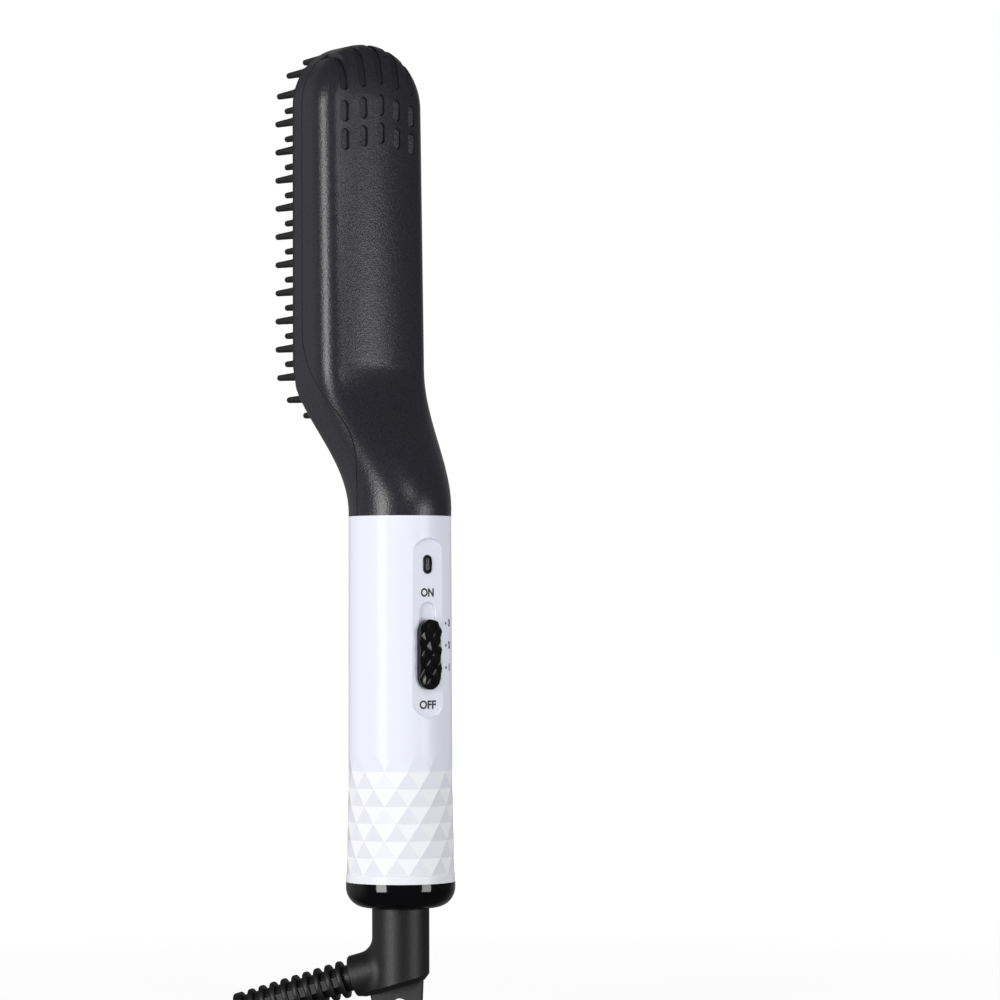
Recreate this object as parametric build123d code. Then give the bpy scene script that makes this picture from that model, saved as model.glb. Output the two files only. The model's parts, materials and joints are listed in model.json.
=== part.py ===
from build123d import *

import os
from math import asin, atan, ceil, cos, degrees, pi, radians, sin, tan

# A mains-powered beard straightener brush: a white handle with a faceted grip, a black end cap,
# a swivelling cord elbow with a hanging loop, and a black S-necked head that carries a comb of
# plastic teeth round a heated, finned plate.
#
# All sizes are millimetres. Z runs up the handle's axis, the comb faces -Y and the controls are
# on +Y. The origin is the centre of the hanging hole, on the axis that the cord end turns about.

# Handle
handle_length = 106.9
handle_top_radius = 15.05
handle_waist_radius = 15.25
grip_rim_radius = 15.95
grip_rim_height = 2.4
handle_bore_radius = 13.0
bore_flat_y = 12.2
bore_clearance = 0.15
facet_columns = 14
facet_rows = 6
facet_row_height = 5.02
facet_low_radius = 15.85
facet_fade_angle = 4.5

# Control panel on the handle, measured down from the collar
panel_flat_y = 14.2
panel_width = 11.2
panel_top_drop = 6.5
panel_length = 52.5
indicator_drop = 14.2
indicator_width = 3.2
indicator_length = 5.6
indicator_border = 0.8
indicator_proud = 0.25
knob_drop = 40.4
knob_width = 9.2
knob_length = 20.6
knob_plate = 1.1
knob_lift = 0.25
knob_grip_height = 0.9
knob_grip_pitch_x = 4.1
knob_grip_pitch_z = 5.45
knob_grip_shift = 1.3
knob_grip_border = 0.7
knob_grip_crease = 0.06
knob_travel = 5.4
track_width = 6.0
track_depth = 0.7
track_overrun = 5.0
track_underrun = 1.3
track_clearance = 0.25
stem_width = 2.4
stem_length = 5.6

# End cap
cap_height = 7.5
cap_radius = 16.05
cap_corner = 6.0
cap_floor = 2.4
cap_cavity_radius = 10.8
cap_spigot_length = 6.0

# Cord end: elbow, hanging loop, ribbed strain relief and rotary contacts
hang_drop = 29.3
hang_hole_radius = 2.75
hang_loop_radius = 7.2
hang_loop_shift = 1.0
hang_tab_thickness = 4.2
elbow_radius = 8.4
elbow_drop = 16.4
elbow_fillet = 5.0
elbow_gap = 0.3
elbow_chamfer = 1.4
tab_reach_arm = 9.3
tab_reach_back = 6.6
arm_radius = 6.25
arm_length = 14.8
arm_end_rounding = 0.6
arm_droop = 16.5
arm_turn = -45.0
arm_bore_radius = 4.7
arm_socket_depth = 8.0
wire_way_radius = 3.6
swivel_neck_radius = 6.5
swivel_neck_height = 5.2
swivel_clearance = 0.1
clip_groove_radius = 5.6
clip_thickness = 0.9
clip_radius = 8.4
rotor_shoulder_height = 3.6
rotor_shoulder_radius = 5.4
ring_contact_radius = 4.0
ring_contact_wall = 0.8
ring_contact_height = 9.0
pin_contact_radius = 1.4
pin_contact_rise = 3.5
cord_bore_radius = 2.8
relief_core_radius = 3.9
relief_root_radius = 5.55
relief_tip_radius = 5.0
relief_ribs = 10
relief_rib_pitch = 3.45
relief_rib_width = 1.6
relief_first_rib = 2.3
relief_end_ring = 2.7
relief_web_width = 3.4

# Neck and head
shell_wall = 2.0
neck_length = 46.6
neck_front_start = 0.6
neck_back_start = 3.1
neck_side_start = 4.6
neck_end = 44.9
comb_straight = 75.9
head_half_width = 18.8
head_front = 30.0
head_back_top = 9.7
head_back_low = 8.1
back_corner = 7.3
front_corner = 1.2
back_lean = 16.2
collar_lean = 30.0
parting_depth = 23.8
parting_start = 13.0
parting_end = 56.0
parting_pull = 0.42
parting_gap = 0.1
front_wall = 2.0
saddle_inset = 0.3
window_reach = 6.4
collar_ring_height = 2.4
spigot_length = 9.5
spigot_wall = 1.8

# Vents on the back of the head
vent_columns = 5
vent_pitch = 5.9
vent_width = 2.6
vent_length = 6.4
vent_row_pitch = 8.35
vent_top_above_arc = 3.0
vent_chevron = 1.2
vent_corner = 0.8
vent_depth = 0.6
vent_rows = 2
groove_gap = 3.0
groove_end = 1.2
slit_width = 1.2

# Comb frame and teeth
comb_frame_thickness = 2.2
comb_frame_inset = 0.15
comb_frame_rounding = 1.2
comb_window_inset = 7.6
tooth_length = 10.7
tooth_root_radius = 1.3
tooth_tip_radius = 0.88
tooth_edge_inset = 1.8
tooth_row_gap = 3.3
tooth_pitch_count = 10
tooth_first_angle = 15.0
tooth_arc_steps = 6

# Heated plate, heater and clamp
plate_flange = 2.0
plate_sink = 0.5
plate_clearance = 0.2
plate_flange_inset = 2.6
fin_height = 5.7
fin_thickness = 1.5
fin_tip_thickness = 0.9
fin_width = 4.4
fin_gap = 1.5
heater_length = 56.0
heater_width = 12.0
heater_thickness = 3.0
insulator_thickness = 0.4
insulator_margin = 1.0
clamp_thickness = 1.0
clamp_width = 14.0
clamp_overhang = 9.0
clamp_rib = 0.8
post_radius = 2.3
fuse_radius = 1.9
fuse_length = 11.0
sensor_radius = 1.3

# Fasteners
screw_radius = 1.0
screw_head_radius = 2.0
screw_head_height = 1.2
screw_slot = 0.5
boss_radius = 2.6

# Inside the handle
carrier_wall = 2.3
carrier_gap = 0.3
socket_height = 11.5
socket_cavity_radius = 6.4
board_width = 20.6
board_thickness = 1.6
board_face_y = 6.0
board_low_gap = 7.0
board_top_gap = 2.5
switch_width = 7.0
switch_length = 17.0
switch_height = 5.0
lever_width = 1.8
leaf_thickness = 0.5
leaf_width = 3.0
lead_radius = 0.75
lead_spread = 3.8
lead_gap = 0.05

# Heights along the handle's axis
z_cap = hang_drop
z_handle = z_cap + cap_height
z_facets = z_handle + grip_rim_height
z_waist = z_facets + facet_rows * facet_row_height
z_collar = z_handle + handle_length
z_arc_low = z_collar + neck_length
z_arc_high = z_arc_low + comb_straight
z_comb_middle = (z_arc_low + z_arc_high) / 2
z_spigot = z_collar - spigot_length
z_socket = z_handle + cap_spigot_length
z_carrier = z_socket + socket_height + carrier_gap
z_board = z_carrier + board_low_gap
z_board_top = z_spigot - board_top_gap
z_knob = z_collar - knob_drop
z_indicator = z_collar - indicator_drop
insert_radius = handle_bore_radius - bore_clearance
insert_flat_y = bore_flat_y - bore_clearance
far = 80.0


def smooth(value, start, end):
    """A share that eases from 0 at start to 1 at end."""
    share = min(max((value - start) / (end - start), 0.0), 1.0)
    return share * share * (3 - 2 * share)


def mix(share, low, high):
    return low + (high - low) * share


def bar(x0, x1, y0, y1, z0, z1):
    """A block between two corners."""
    return Pos((x0 + x1) / 2, (y0 + y1) / 2, (z0 + z1) / 2) * Box(x1 - x0, y1 - y0, z1 - z0)


def rod_z(radius, z0, z1, x=0.0, y=0.0):
    """A round bar along Z."""
    return Pos(x, y, (z0 + z1) / 2) * Cylinder(radius, z1 - z0)


def rod_y(radius, y0, y1, x=0.0, z=0.0):
    """A round bar along Y."""
    return Pos(x, (y0 + y1) / 2, z) * Rot(90, 0, 0) * Cylinder(radius, y1 - y0)


def front_plane(y):
    """The sketch plane at this Y that looks along -Y: its x is +X, and its y is +Z."""
    return Plane(origin=(0, y, 0), x_dir=(1, 0, 0), z_dir=(0, -1, 0))


def upright_slot(width, length, z_middle, y0, y1, x=0.0):
    """A round-ended slot that stands along Z, cut from y0 to y1."""
    outline = front_plane(y1) * Pos(x, z_middle) * SlotOverall(length, width, 90)
    return extrude(outline, y1 - y0)


def vent_slot(length, z_middle, y0, y1, x):
    """A vent's slot with chamfered corners that stands along Z, cut from y0 to y1."""
    outline = chamfer(Rectangle(vent_width, length).vertices(), vent_corner)
    return extrude(front_plane(y1) * Pos(x, z_middle) * outline, y1 - y0)


def obround(radius, y0, y1):
    """The comb's outline at this end radius, between two depths."""
    length = z_arc_high - z_arc_low
    outline = front_plane(y1) * Pos(0, z_comb_middle) * SlotCenterToCenter(length, 2 * radius, 90)
    return extrude(outline, y1 - y0)


# Neck and head form


def arc_points(centre_x, centre_y, radius, start, end):
    """Start, middle and end of an arc, by the angle from +X."""
    return [
        (centre_x + radius * cos(radians(a)), centre_y + radius * sin(radians(a)))
        for a in (start, (start + end) / 2, end)
    ]


def outline(z, half_width, front_y, back_y, corner_front, corner_back, lean_front, lean_back):
    """A section of the neck or head: flat sides, four corners, and a front and a back that are
    flat or crowned. A lean is how far the surface has turned where the crown meets a corner."""
    x_front = half_width - corner_front
    x_back = half_width - corner_back

    def crown(x, corner, lean):
        if lean < 0.5:
            return None, corner
        radius = (x + corner * sin(radians(lean))) / sin(radians(lean))
        return radius, corner * cos(radians(lean)) + radius * (1 - cos(radians(lean)))

    front_crown, front_depth = crown(x_front, corner_front, lean_front)
    back_crown, back_depth = crown(x_back, corner_back, lean_back)
    if front_crown is None:
        lean_front = 0.0
    if back_crown is None:
        lean_back = 0.0
    y_front = front_y + front_depth
    y_back = back_y - back_depth
    right_front = arc_points(x_front, y_front, corner_front, -90 + lean_front, 0)
    right_back = arc_points(x_back, y_back, corner_back, 0, 90 - lean_back)
    left_back = [(-x, y) for x, y in reversed(right_back)]
    left_front = [(-x, y) for x, y in reversed(right_front)]

    def across(start, end, apex_y, crowned):
        if crowned:
            return ThreePointArc(start, (0, apex_y), end)
        return Line(start, end)

    edges = [
        across(left_front[-1], right_front[0], front_y, front_crown),
        ThreePointArc(*right_front),
        Line(right_front[-1], right_back[0]),
        ThreePointArc(*right_back),
        across(right_back[-1], left_back[0], back_y, back_crown),
        ThreePointArc(*left_back),
        Line(left_back[-1], left_front[0]),
        ThreePointArc(*left_front),
    ]
    return Pos(0, 0, z) * make_face(edges)


def neck_outline(height, wall=0.0, front=0.0):
    """The section at a height above the collar, drawn in by a wall, and by more at the front."""
    turn_front = smooth(height, neck_front_start, neck_end)
    turn_back = smooth(height, neck_back_start, neck_end)
    spread = smooth(height, neck_side_start, neck_end)
    collar_corner = handle_top_radius - 0.1
    corner_front = mix(turn_front, collar_corner, front_corner)
    corner_back = mix(turn_back, collar_corner, back_corner)
    return outline(
        z_collar + height,
        mix(spread, handle_top_radius, head_half_width) - wall,
        mix(turn_front, -handle_top_radius, -head_front) + wall + front * turn_front,
        mix(turn_back, handle_top_radius, -head_back_low) - wall,
        max(corner_front - wall, 0.5),
        max(corner_back - wall, 0.5),
        mix(turn_front, collar_lean, 0.0),
        mix(turn_back, collar_lean, back_lean),
    )


def head_outline(z, back, wall=0.0, front=0.0):
    return outline(
        z,
        head_half_width - wall,
        -head_front + wall + front,
        -back - wall,
        max(front_corner - wall, 0.5),
        back_corner - wall,
        0.0,
        back_lean,
    )


def head_form(wall=0.0, front=0.0):
    """The whole neck and head as one solid, drawn in by a wall for the cavity."""
    steps = 8
    heights = [neck_end * i / steps for i in range(steps + 1)]
    low = head_outline(z_arc_low, head_back_low, wall, front)
    neck = loft([neck_outline(h, wall, front) for h in heights] + [low])
    high = head_outline(z_arc_high, head_back_top, wall, front)
    body = loft([low, high], ruled=True)
    half = high & (Pos(far / 2, -far / 4, z_arc_high) * Rectangle(far, 2 * far))
    dome = revolve(half, Axis((0, 0, z_arc_high), (0, -1, 0)), 180)
    return neck + body + dome


def front_region(shift):
    """Everything in front of the parting surface, which is moved back by shift."""
    z0 = z_collar + parting_start
    z1 = z_collar + parting_end
    rise = (z1 - z0) * parting_pull
    depth = -parting_depth
    curve = Bezier((0, z0), (0, z0 + rise), (depth, z1 - rise), (depth, z1))
    low = z_spigot - far / 4
    high = z_arc_high + far
    border = Polyline((depth, z1), (depth, high), (-far, high), (-far, low), (0, low), (0, z0))
    region = extrude(Plane.YZ * make_face([curve, border]), far / 2, both=True)
    return Pos(0, shift, 0) * region


def insert_solid(radius, flat_y, z0, z1):
    """A round bar with the flat that keys it to the handle's bore."""
    return rod_z(radius, z0, z1) & bar(-far, far, -far, flat_y, z0, z1)


def spigot_solid():
    """The tail of the two shells that goes down inside the handle, before it is parted."""
    outer = insert_solid(insert_radius, insert_flat_y, z_spigot, z_collar)
    outer += rod_z(handle_top_radius - shell_wall / 2, z_collar, z_collar + collar_ring_height)
    inner_radius = insert_radius - spigot_wall
    inner_flat = insert_flat_y - spigot_wall
    return outer - insert_solid(inner_radius, inner_flat, z_spigot - 1, z_collar + spigot_length)


spigot_screw_x = insert_radius - spigot_wall - boss_radius + 0.6
spigot_screw_z = z_spigot + boss_radius + 0.8
spigot_screw_seat = 5.2
spigot_screw_end = -5.0


def vent_places():
    """Column centre and the drop of its chevron step."""
    middle = (vent_columns - 1) / 2
    return [((i - middle) * vent_pitch, abs(i - middle) * vent_chevron) for i in range(vent_columns)]


def back_crown():
    """Crown radius of the head's back at the upper arc, and where its corner arc is centred."""
    lean = radians(back_lean)
    x = head_half_width - back_corner
    radius = (x + back_corner * sin(lean)) / sin(lean)
    y = -head_back_top - back_corner * cos(lean) - radius * (1 - cos(lean))
    return radius, x, y


def vent_cutters():
    """Blind slots in two rows on the back."""
    crown, _, _ = back_crown()
    outside = -head_back_top + 1.0
    cutters = []
    for x, drop in vent_places():
        sag = crown - (crown * crown - x * x) ** 0.5
        floor = -head_back_top - sag - vent_depth
        for row in range(vent_rows):
            top = z_arc_high + vent_top_above_arc - drop - row * vent_row_pitch
            lift = (head_back_top - head_back_low) * (z_arc_high - top) / comb_straight
            cutters.append(vent_slot(vent_length, top - vent_length / 2, floor + lift, outside + lift, x))
    return cutters


def groove_cutter(x, drop):
    """A groove that runs from above a vent column over the rounded top, to just short of the
    parting line, with the slit that it ends in."""
    crown, corner_x, corner_y = back_crown()
    low = z_arc_high + vent_top_above_arc - drop + groove_gap
    first = (x * x + (low - z_arc_high) ** 2) ** 0.5
    corner = back_corner - vent_depth
    last = corner_x + corner * sin(radians(back_lean))
    floor = []
    for i in range(4):
        radius = mix(i / 4, first, last)
        depth = ((crown - vent_depth) ** 2 - radius * radius) ** 0.5
        floor.append((radius, depth - crown - head_back_top))
    for i in range(7):
        angle = radians(mix(i / 6, 90 - back_lean, 0.0))
        floor.append((corner_x + corner * cos(angle), corner_y + corner * sin(angle)))
    points = [(y, z_arc_high + (radius * radius - x * x) ** 0.5) for radius, y in floor]
    end_y = -parting_depth + groove_end
    outside_y = -head_back_top + 1.0
    outside_z = z_arc_high + head_half_width + 1.0
    border = Polyline(points[-1], (end_y, points[-1][1]), (end_y, outside_z),
                      (outside_y, outside_z), (outside_y, low), points[0])
    profile = Plane.YZ * make_face([Spline(points), border])
    groove = extrude(profile, vent_width, both=True)
    length = 2 * (outside_z - low)
    groove = Pos(x, 0, 0) * groove & vent_slot(length, low + length / 2, end_y, outside_y, x)
    slit = bar(x - vent_width / 2, x + vent_width / 2, end_y, end_y + slit_width, z_arc_high + 2, outside_z)
    return groove + slit


def make_shells():
    """The front and the back moulding. The front one ends in a flat saddle for the comb frame."""
    saddle_y = -head_front + comb_frame_thickness
    saddle_radius = head_half_width - saddle_inset
    outer = head_form()
    outer += rod_y(saddle_radius, saddle_y - comb_frame_thickness / 2, saddle_y + 4, 0, z_arc_low)
    outer -= bar(-far, far, -far, saddle_y, z_arc_low - saddle_radius - 2, 2 * z_arc_high)
    hull = outer - head_form(shell_wall, comb_frame_thickness + front_wall - shell_wall)
    hull += spigot_solid()

    front = hull & front_region(-parting_gap / 2)
    window = head_half_width - plate_flange_inset + plate_clearance
    front -= obround(window, saddle_y - 1, saddle_y + window_reach)
    back = hull - front_region(parting_gap / 2)
    back -= vent_cutters() + [groove_cutter(x, drop) for x, drop in vent_places()]
    for side in (-1, 1):
        x = side * spigot_screw_x
        front_boss = rod_y(boss_radius, -insert_radius + 2, -parting_gap / 2, x, spigot_screw_z)
        back_boss = rod_y(boss_radius, parting_gap / 2, insert_radius - 4, x, spigot_screw_z)
        keep = insert_solid(insert_radius, insert_flat_y, z_spigot, z_collar)
        front += front_boss & keep
        back += back_boss & keep
        front -= rod_y(screw_radius, spigot_screw_end, 1, x, spigot_screw_z)
        back -= rod_y(screw_radius + 0.15, -1, far, x, spigot_screw_z)
        back -= rod_y(screw_head_radius + 0.3, spigot_screw_seat, far, x, spigot_screw_z)
    return front, back


# Comb and heated plate


def tooth(root_radius, tip_radius, length):
    """A tapered tooth with a round tip, standing on its root along Z."""
    shoulder = length - tip_radius
    profile = make_face([
        Line((0, -0.6), (root_radius, -0.6)),
        Line((root_radius, -0.6), (tip_radius, shoulder)),
        ThreePointArc((tip_radius, shoulder),
                      (tip_radius * sin(pi / 4), shoulder + tip_radius * cos(pi / 4)), (0, length)),
        Line((0, length), (0, -0.6)),
    ])
    return revolve(Plane.XZ * profile, Axis.Z, 360)


def outer_tooth_places():
    """Round the rim: along both straight sides and both rounded ends."""
    radius = head_half_width - tooth_edge_inset
    step = (180 - 2 * tooth_first_angle) / tooth_arc_steps
    rise = radius * sin(radians(tooth_first_angle))
    straight = comb_straight + 2 * rise
    places = []
    for i in range(1, tooth_pitch_count):
        z = z_arc_low - rise + straight * i / tooth_pitch_count
        places += [(radius, z), (-radius, z)]
    for i in range(tooth_arc_steps + 1):
        angle = radians(tooth_first_angle + step * i)
        places.append((radius * cos(angle), z_arc_high + radius * sin(angle)))
        places.append((radius * cos(angle), z_arc_low - radius * sin(angle)))
    return places


def inner_tooth_places():
    """The second row on each side stands half a pitch off the first."""
    radius = head_half_width - tooth_edge_inset
    x = radius - tooth_row_gap
    rise = radius * sin(radians(tooth_first_angle))
    straight = comb_straight + 2 * rise
    pitch = straight / tooth_pitch_count
    places = []
    for i in range(tooth_pitch_count):
        z = z_arc_low - rise + pitch * (i + 0.5)
        places += [(x, z), (-x, z)]
    return places


def make_comb_frame():
    window = head_half_width - comb_window_inset
    back_y = -head_front + comb_frame_thickness
    frame = obround(head_half_width - comb_frame_inset, -head_front, back_y)
    frame = fillet(frame.edges().group_by(Axis.Y)[0], comb_frame_rounding)
    frame -= obround(window, -head_front - 1, back_y + 1)
    one = tooth(tooth_root_radius, tooth_tip_radius, tooth_length)
    teeth = [
        Pos(x, -head_front, z) * Rot(90, 0, 0) * one
        for x, z in outer_tooth_places() + inner_tooth_places()
    ]
    frame = frame + teeth
    for x, z in plate_screw_places():
        frame -= rod_y(screw_radius, back_y - 1.7, back_y + 1, x, z)
    return frame


def plate_screw_places():
    radius = head_half_width - plate_flange_inset - screw_head_radius - 0.2
    return [(0, z_arc_high + radius), (0, z_arc_low - radius), (radius, z_comb_middle), (-radius, z_comb_middle)]


def clamp_screw_places():
    reach = heater_length / 2 + clamp_overhang / 2
    return [(0, z_comb_middle + reach), (0, z_comb_middle - reach)]


plate_back_y = -head_front + comb_frame_thickness + plate_flange
heater_back_y = plate_back_y + heater_thickness
insulator_back_y = heater_back_y + insulator_thickness
clamp_back_y = insulator_back_y + clamp_thickness


def make_heating_plate():
    """A cast plate: a flange behind the comb frame, a face in its window, and rows of fins."""
    flange_y = plate_back_y - plate_flange
    face_y = -head_front + plate_sink
    window = head_half_width - comb_window_inset - plate_clearance
    plate = obround(head_half_width - plate_flange_inset, flange_y, plate_back_y)
    plate += obround(window, face_y, flange_y + 0.5)
    root = Rectangle(fin_width, fin_thickness)
    tip = Pos(0, 0, fin_height) * Rectangle(fin_width - 1.0, fin_tip_thickness)
    fin = loft([Pos(0, 0, -0.4) * root, tip], ruled=True)
    pitch = fin_width + fin_gap
    fins = []
    for i in range(2 * tooth_pitch_count - 1):
        z = z_arc_low + comb_straight * i / (2 * tooth_pitch_count - 2)
        for column in (-1, 0, 1):
            fins.append(Pos(column * pitch, face_y, z) * Rot(90, 0, 0) * fin)
    plate = plate + fins
    for x, z in clamp_screw_places():
        plate += rod_y(post_radius, plate_back_y - 0.5, insulator_back_y, x, z)
        plate -= rod_y(screw_radius, plate_back_y, insulator_back_y + 1, x, z)
    for x, z in plate_screw_places():
        plate -= rod_y(screw_radius + 0.15, flange_y - 1, plate_back_y + 1, x, z)
    return plate


def make_heater():
    half_length = heater_length / 2
    strip = bar(-heater_width / 2, heater_width / 2, plate_back_y, heater_back_y,
                z_comb_middle - half_length, z_comb_middle + half_length)
    return chamfer(strip.edges().filter_by(Axis.Z), 0.4)


def make_insulator():
    half_width = heater_width / 2 + insulator_margin
    half_length = heater_length / 2 + insulator_margin
    return bar(-half_width, half_width, heater_back_y, insulator_back_y,
               z_comb_middle - half_length, z_comb_middle + half_length)


def make_clamp_plate():
    """A spring-steel bar with a stiffening rib pressed along it."""
    half_length = heater_length / 2 + clamp_overhang
    plate = bar(-clamp_width / 2, clamp_width / 2, insulator_back_y, clamp_back_y,
                z_comb_middle - half_length, z_comb_middle + half_length)
    plate = fillet(plate.edges().filter_by(Axis.Y), 2.5)
    rib = heater_length / 2 - 4
    for side in (-1, 1):
        x = side * clamp_width / 3
        plate += bar(x - 0.7, x + 0.7, clamp_back_y - 0.2, clamp_back_y + clamp_rib,
                     z_comb_middle - rib, z_comb_middle + rib)
    for x, z in clamp_screw_places():
        plate -= rod_y(screw_radius + 0.15, insulator_back_y - 1, clamp_back_y + 1, x, z)
    return plate


def screw(length):
    """A pan-head screw along -Y: its seat is at the origin, and its head is on +Y."""
    body = rod_y(screw_radius, -length, 0.2) + rod_y(screw_head_radius, 0, screw_head_height)
    top = body.edges().group_by(Axis.Y)[-1]
    body = fillet(top, 0.4)
    for size in ((2.4, 0.5), (0.5, 2.4)):
        body -= Pos(0, screw_head_height, 0) * Box(size[0], 2 * screw_slot, size[1])
    return body


def screws_at(places, seat_y, length):
    return Compound(children=[Pos(x, seat_y, z) * screw(length) for x, z in places])


def make_fuse():
    """A barrel fuse that lies along the clamp plate, between its ribs."""
    z0 = z_comb_middle + 6
    y = clamp_back_y + fuse_radius
    barrel = rod_z(fuse_radius, z0, z0 + fuse_length, 0, y)
    barrel = chamfer(barrel.edges().filter_by(GeomType.CIRCLE), 0.5)
    return barrel + rod_z(0.5, z0 - 3.5, z0 + fuse_length + 3.5, 0, y)


def make_sensor():
    """A bead thermistor on the clamp plate."""
    y = clamp_back_y + sensor_radius
    z = z_comb_middle - 14
    return (Pos(0, y, z) * Sphere(sensor_radius)) + rod_z(0.35, z - 6, z, 0, y)


# Handle


def facet_ring(level):
    """The corners of one ring of the faceted grip. Every second ring is turned by half a facet."""
    step = 360 / facet_columns
    turn = step / 2 if level % 2 == 0 else 0.0
    radius = mix(level / facet_rows, facet_low_radius, handle_waist_radius)
    z = z_facets + level * facet_row_height
    return [
        Vector(radius * cos(radians(turn + i * step)), radius * sin(radians(turn + i * step)), z)
        for i in range(facet_columns)
    ]


def faceted_grip():
    """Rows of triangles, point up and point down in turn."""
    rings = [facet_ring(level) for level in range(facet_rows + 1)]
    triangles = [rings[0][::-1], rings[-1]]
    for level in range(facet_rows):
        low, high = rings[level], rings[level + 1]
        for i in range(facet_columns):
            after = (i + 1) % facet_columns
            if level % 2 == 0:
                triangles.append([low[i], low[after], high[after]])
                triangles.append([high[i], low[i], high[after]])
            else:
                triangles.append([low[i], low[after], high[i]])
                triangles.append([high[i], low[after], high[after]])
    faces = [Face(Wire.make_polygon(points, close=True)) for points in triangles]
    return Solid(Shell(faces))


def facet_polygon(apothem, level, z):
    step = 360 / facet_columns
    turn = step / 2 if level % 2 == 0 else 0.0
    radius = apothem / cos(pi / facet_columns)
    return Pos(0, 0, z) * make_face(Polyline(
        [(radius * cos(radians(turn + i * step)), radius * sin(radians(turn + i * step)))
         for i in range(facet_columns)], close=True))


def make_sleeve():
    rim = rod_z(grip_rim_radius, z_handle, z_facets)
    rim = fillet(rim.edges().group_by(Axis.Z)[-1], 0.1)
    upper = loft([Pos(0, 0, z_waist) * Circle(handle_waist_radius),
                  Pos(0, 0, z_collar) * Circle(handle_top_radius)], ruled=True)
    apothem = handle_waist_radius * cos(pi / facet_columns)
    spread = (z_collar - z_waist) * tan(radians(facet_fade_angle))
    upper &= loft([facet_polygon(apothem, facet_rows, z_waist),
                   facet_polygon(apothem + spread, facet_rows, z_collar)], ruled=True)
    sleeve = upper + faceted_grip() + rim
    sleeve -= insert_solid(handle_bore_radius, bore_flat_y, z_handle - 1, z_collar + 1)

    panel_middle = z_collar - panel_top_drop - panel_length / 2
    sleeve -= upright_slot(panel_width, panel_length, panel_middle, panel_flat_y, far)
    track_low = z_knob - knob_length / 2 + track_underrun
    track_high = z_knob + knob_length / 2 + track_overrun
    sleeve -= upright_slot(track_width, track_high - track_low, (track_low + track_high) / 2,
                           panel_flat_y - track_depth, far)
    slit_width_x = stem_width + 2 * track_clearance
    slit_length = stem_length + knob_travel + 2 * track_clearance
    slit_middle = z_knob + knob_travel / 2
    sleeve -= bar(-slit_width_x / 2, slit_width_x / 2, 0, far,
                  slit_middle - slit_length / 2, slit_middle + slit_length / 2)
    sleeve -= upright_slot(indicator_width, indicator_length, z_indicator, 0, far)
    return sleeve


def make_knob():
    """The slide knob: a round-ended plate with a diamond grip, a guide rib and a forked stem."""
    plate_y = panel_flat_y + knob_lift
    top_y = plate_y + knob_plate
    knob = upright_slot(knob_width, knob_length, z_knob, plate_y, top_y)
    knob = fillet(knob.edges().group_by(Axis.Y)[-1], 0.5)
    knob += knob_grip(top_y)
    rib_width = track_width - 2 * track_clearance
    rib_low = z_knob - knob_length / 2 + track_underrun + track_clearance
    rib_high = z_knob + knob_length / 2 - track_underrun
    floor_y = panel_flat_y - track_depth + track_clearance
    knob += upright_slot(rib_width, rib_high - rib_low, (rib_low + rib_high) / 2, floor_y, plate_y + 0.3)
    stem_tip = board_face_y + switch_height + 0.4
    knob += bar(-stem_width / 2, stem_width / 2, stem_tip, floor_y + 0.2,
                z_knob - stem_length / 2, z_knob + stem_length / 2)
    pocket = lever_width / 2 + 0.1
    knob -= bar(-far, far, stem_tip - 1, stem_tip + 1.5, z_knob - pocket, z_knob + pocket)
    return knob


def knob_grip(face_y):
    """Staggered diamonds all over the knob's face, cut off along its border."""
    half_x, half_z = knob_grip_pitch_x / 2, knob_grip_pitch_z / 2
    columns, rows = ceil(knob_width / 2 / half_x), ceil(knob_length / 2 / half_z)
    one = diamond(half_x - knob_grip_crease, half_z - knob_grip_crease, knob_grip_height + 0.2)
    diamonds = [
        Pos(column * half_x, face_y - 0.2, z_knob + knob_grip_shift + row * half_z) * one
        for column in range(-columns, columns + 1)
        for row in range(-rows, rows + 1)
        if (column + row) % 2 == 0
    ]
    border = upright_slot(knob_width - 2 * knob_grip_border, knob_length - 2 * knob_grip_border,
                          z_knob, face_y - 0.2, face_y + knob_grip_height)
    return Part() + diamonds & border


def diamond(half_x, half_z, height):
    """A four-sided point along +Y on a diamond base."""
    base = make_face(Polyline([(half_x, 0), (0, half_z), (-half_x, 0), (0, -half_z)], close=True))
    tip = base.scale(0.16)
    return loft([front_plane(0) * base, front_plane(height) * tip], ruled=True)


def make_indicator():
    """A black bezel in the panel, and the lens that fills it."""
    face_y = panel_flat_y + indicator_proud
    inner_y = bore_flat_y - 0.8
    gap = 0.05
    bezel = upright_slot(indicator_width - 2 * gap, indicator_length - 2 * gap, z_indicator, inner_y, face_y)
    bezel = fillet(bezel.edges().group_by(Axis.Y)[-1], 0.2)
    bezel += upright_slot(indicator_width + 1.6, indicator_length + 1.6, z_indicator, inner_y, bore_flat_y - gap)
    hole_width = indicator_width - 2 * indicator_border
    hole_length = indicator_length - 2 * indicator_border
    bezel -= upright_slot(hole_width, hole_length, z_indicator, 0, far)
    lens = upright_slot(hole_width - gap, hole_length - gap, z_indicator, inner_y, face_y - 0.05)
    lens = fillet(lens.edges().group_by(Axis.Y)[-1], 0.25)
    lens += upright_slot(hole_width + 1.2, hole_length + 1.2, z_indicator, inner_y - 0.8, inner_y)
    return bezel, lens


# Inside the handle


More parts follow.
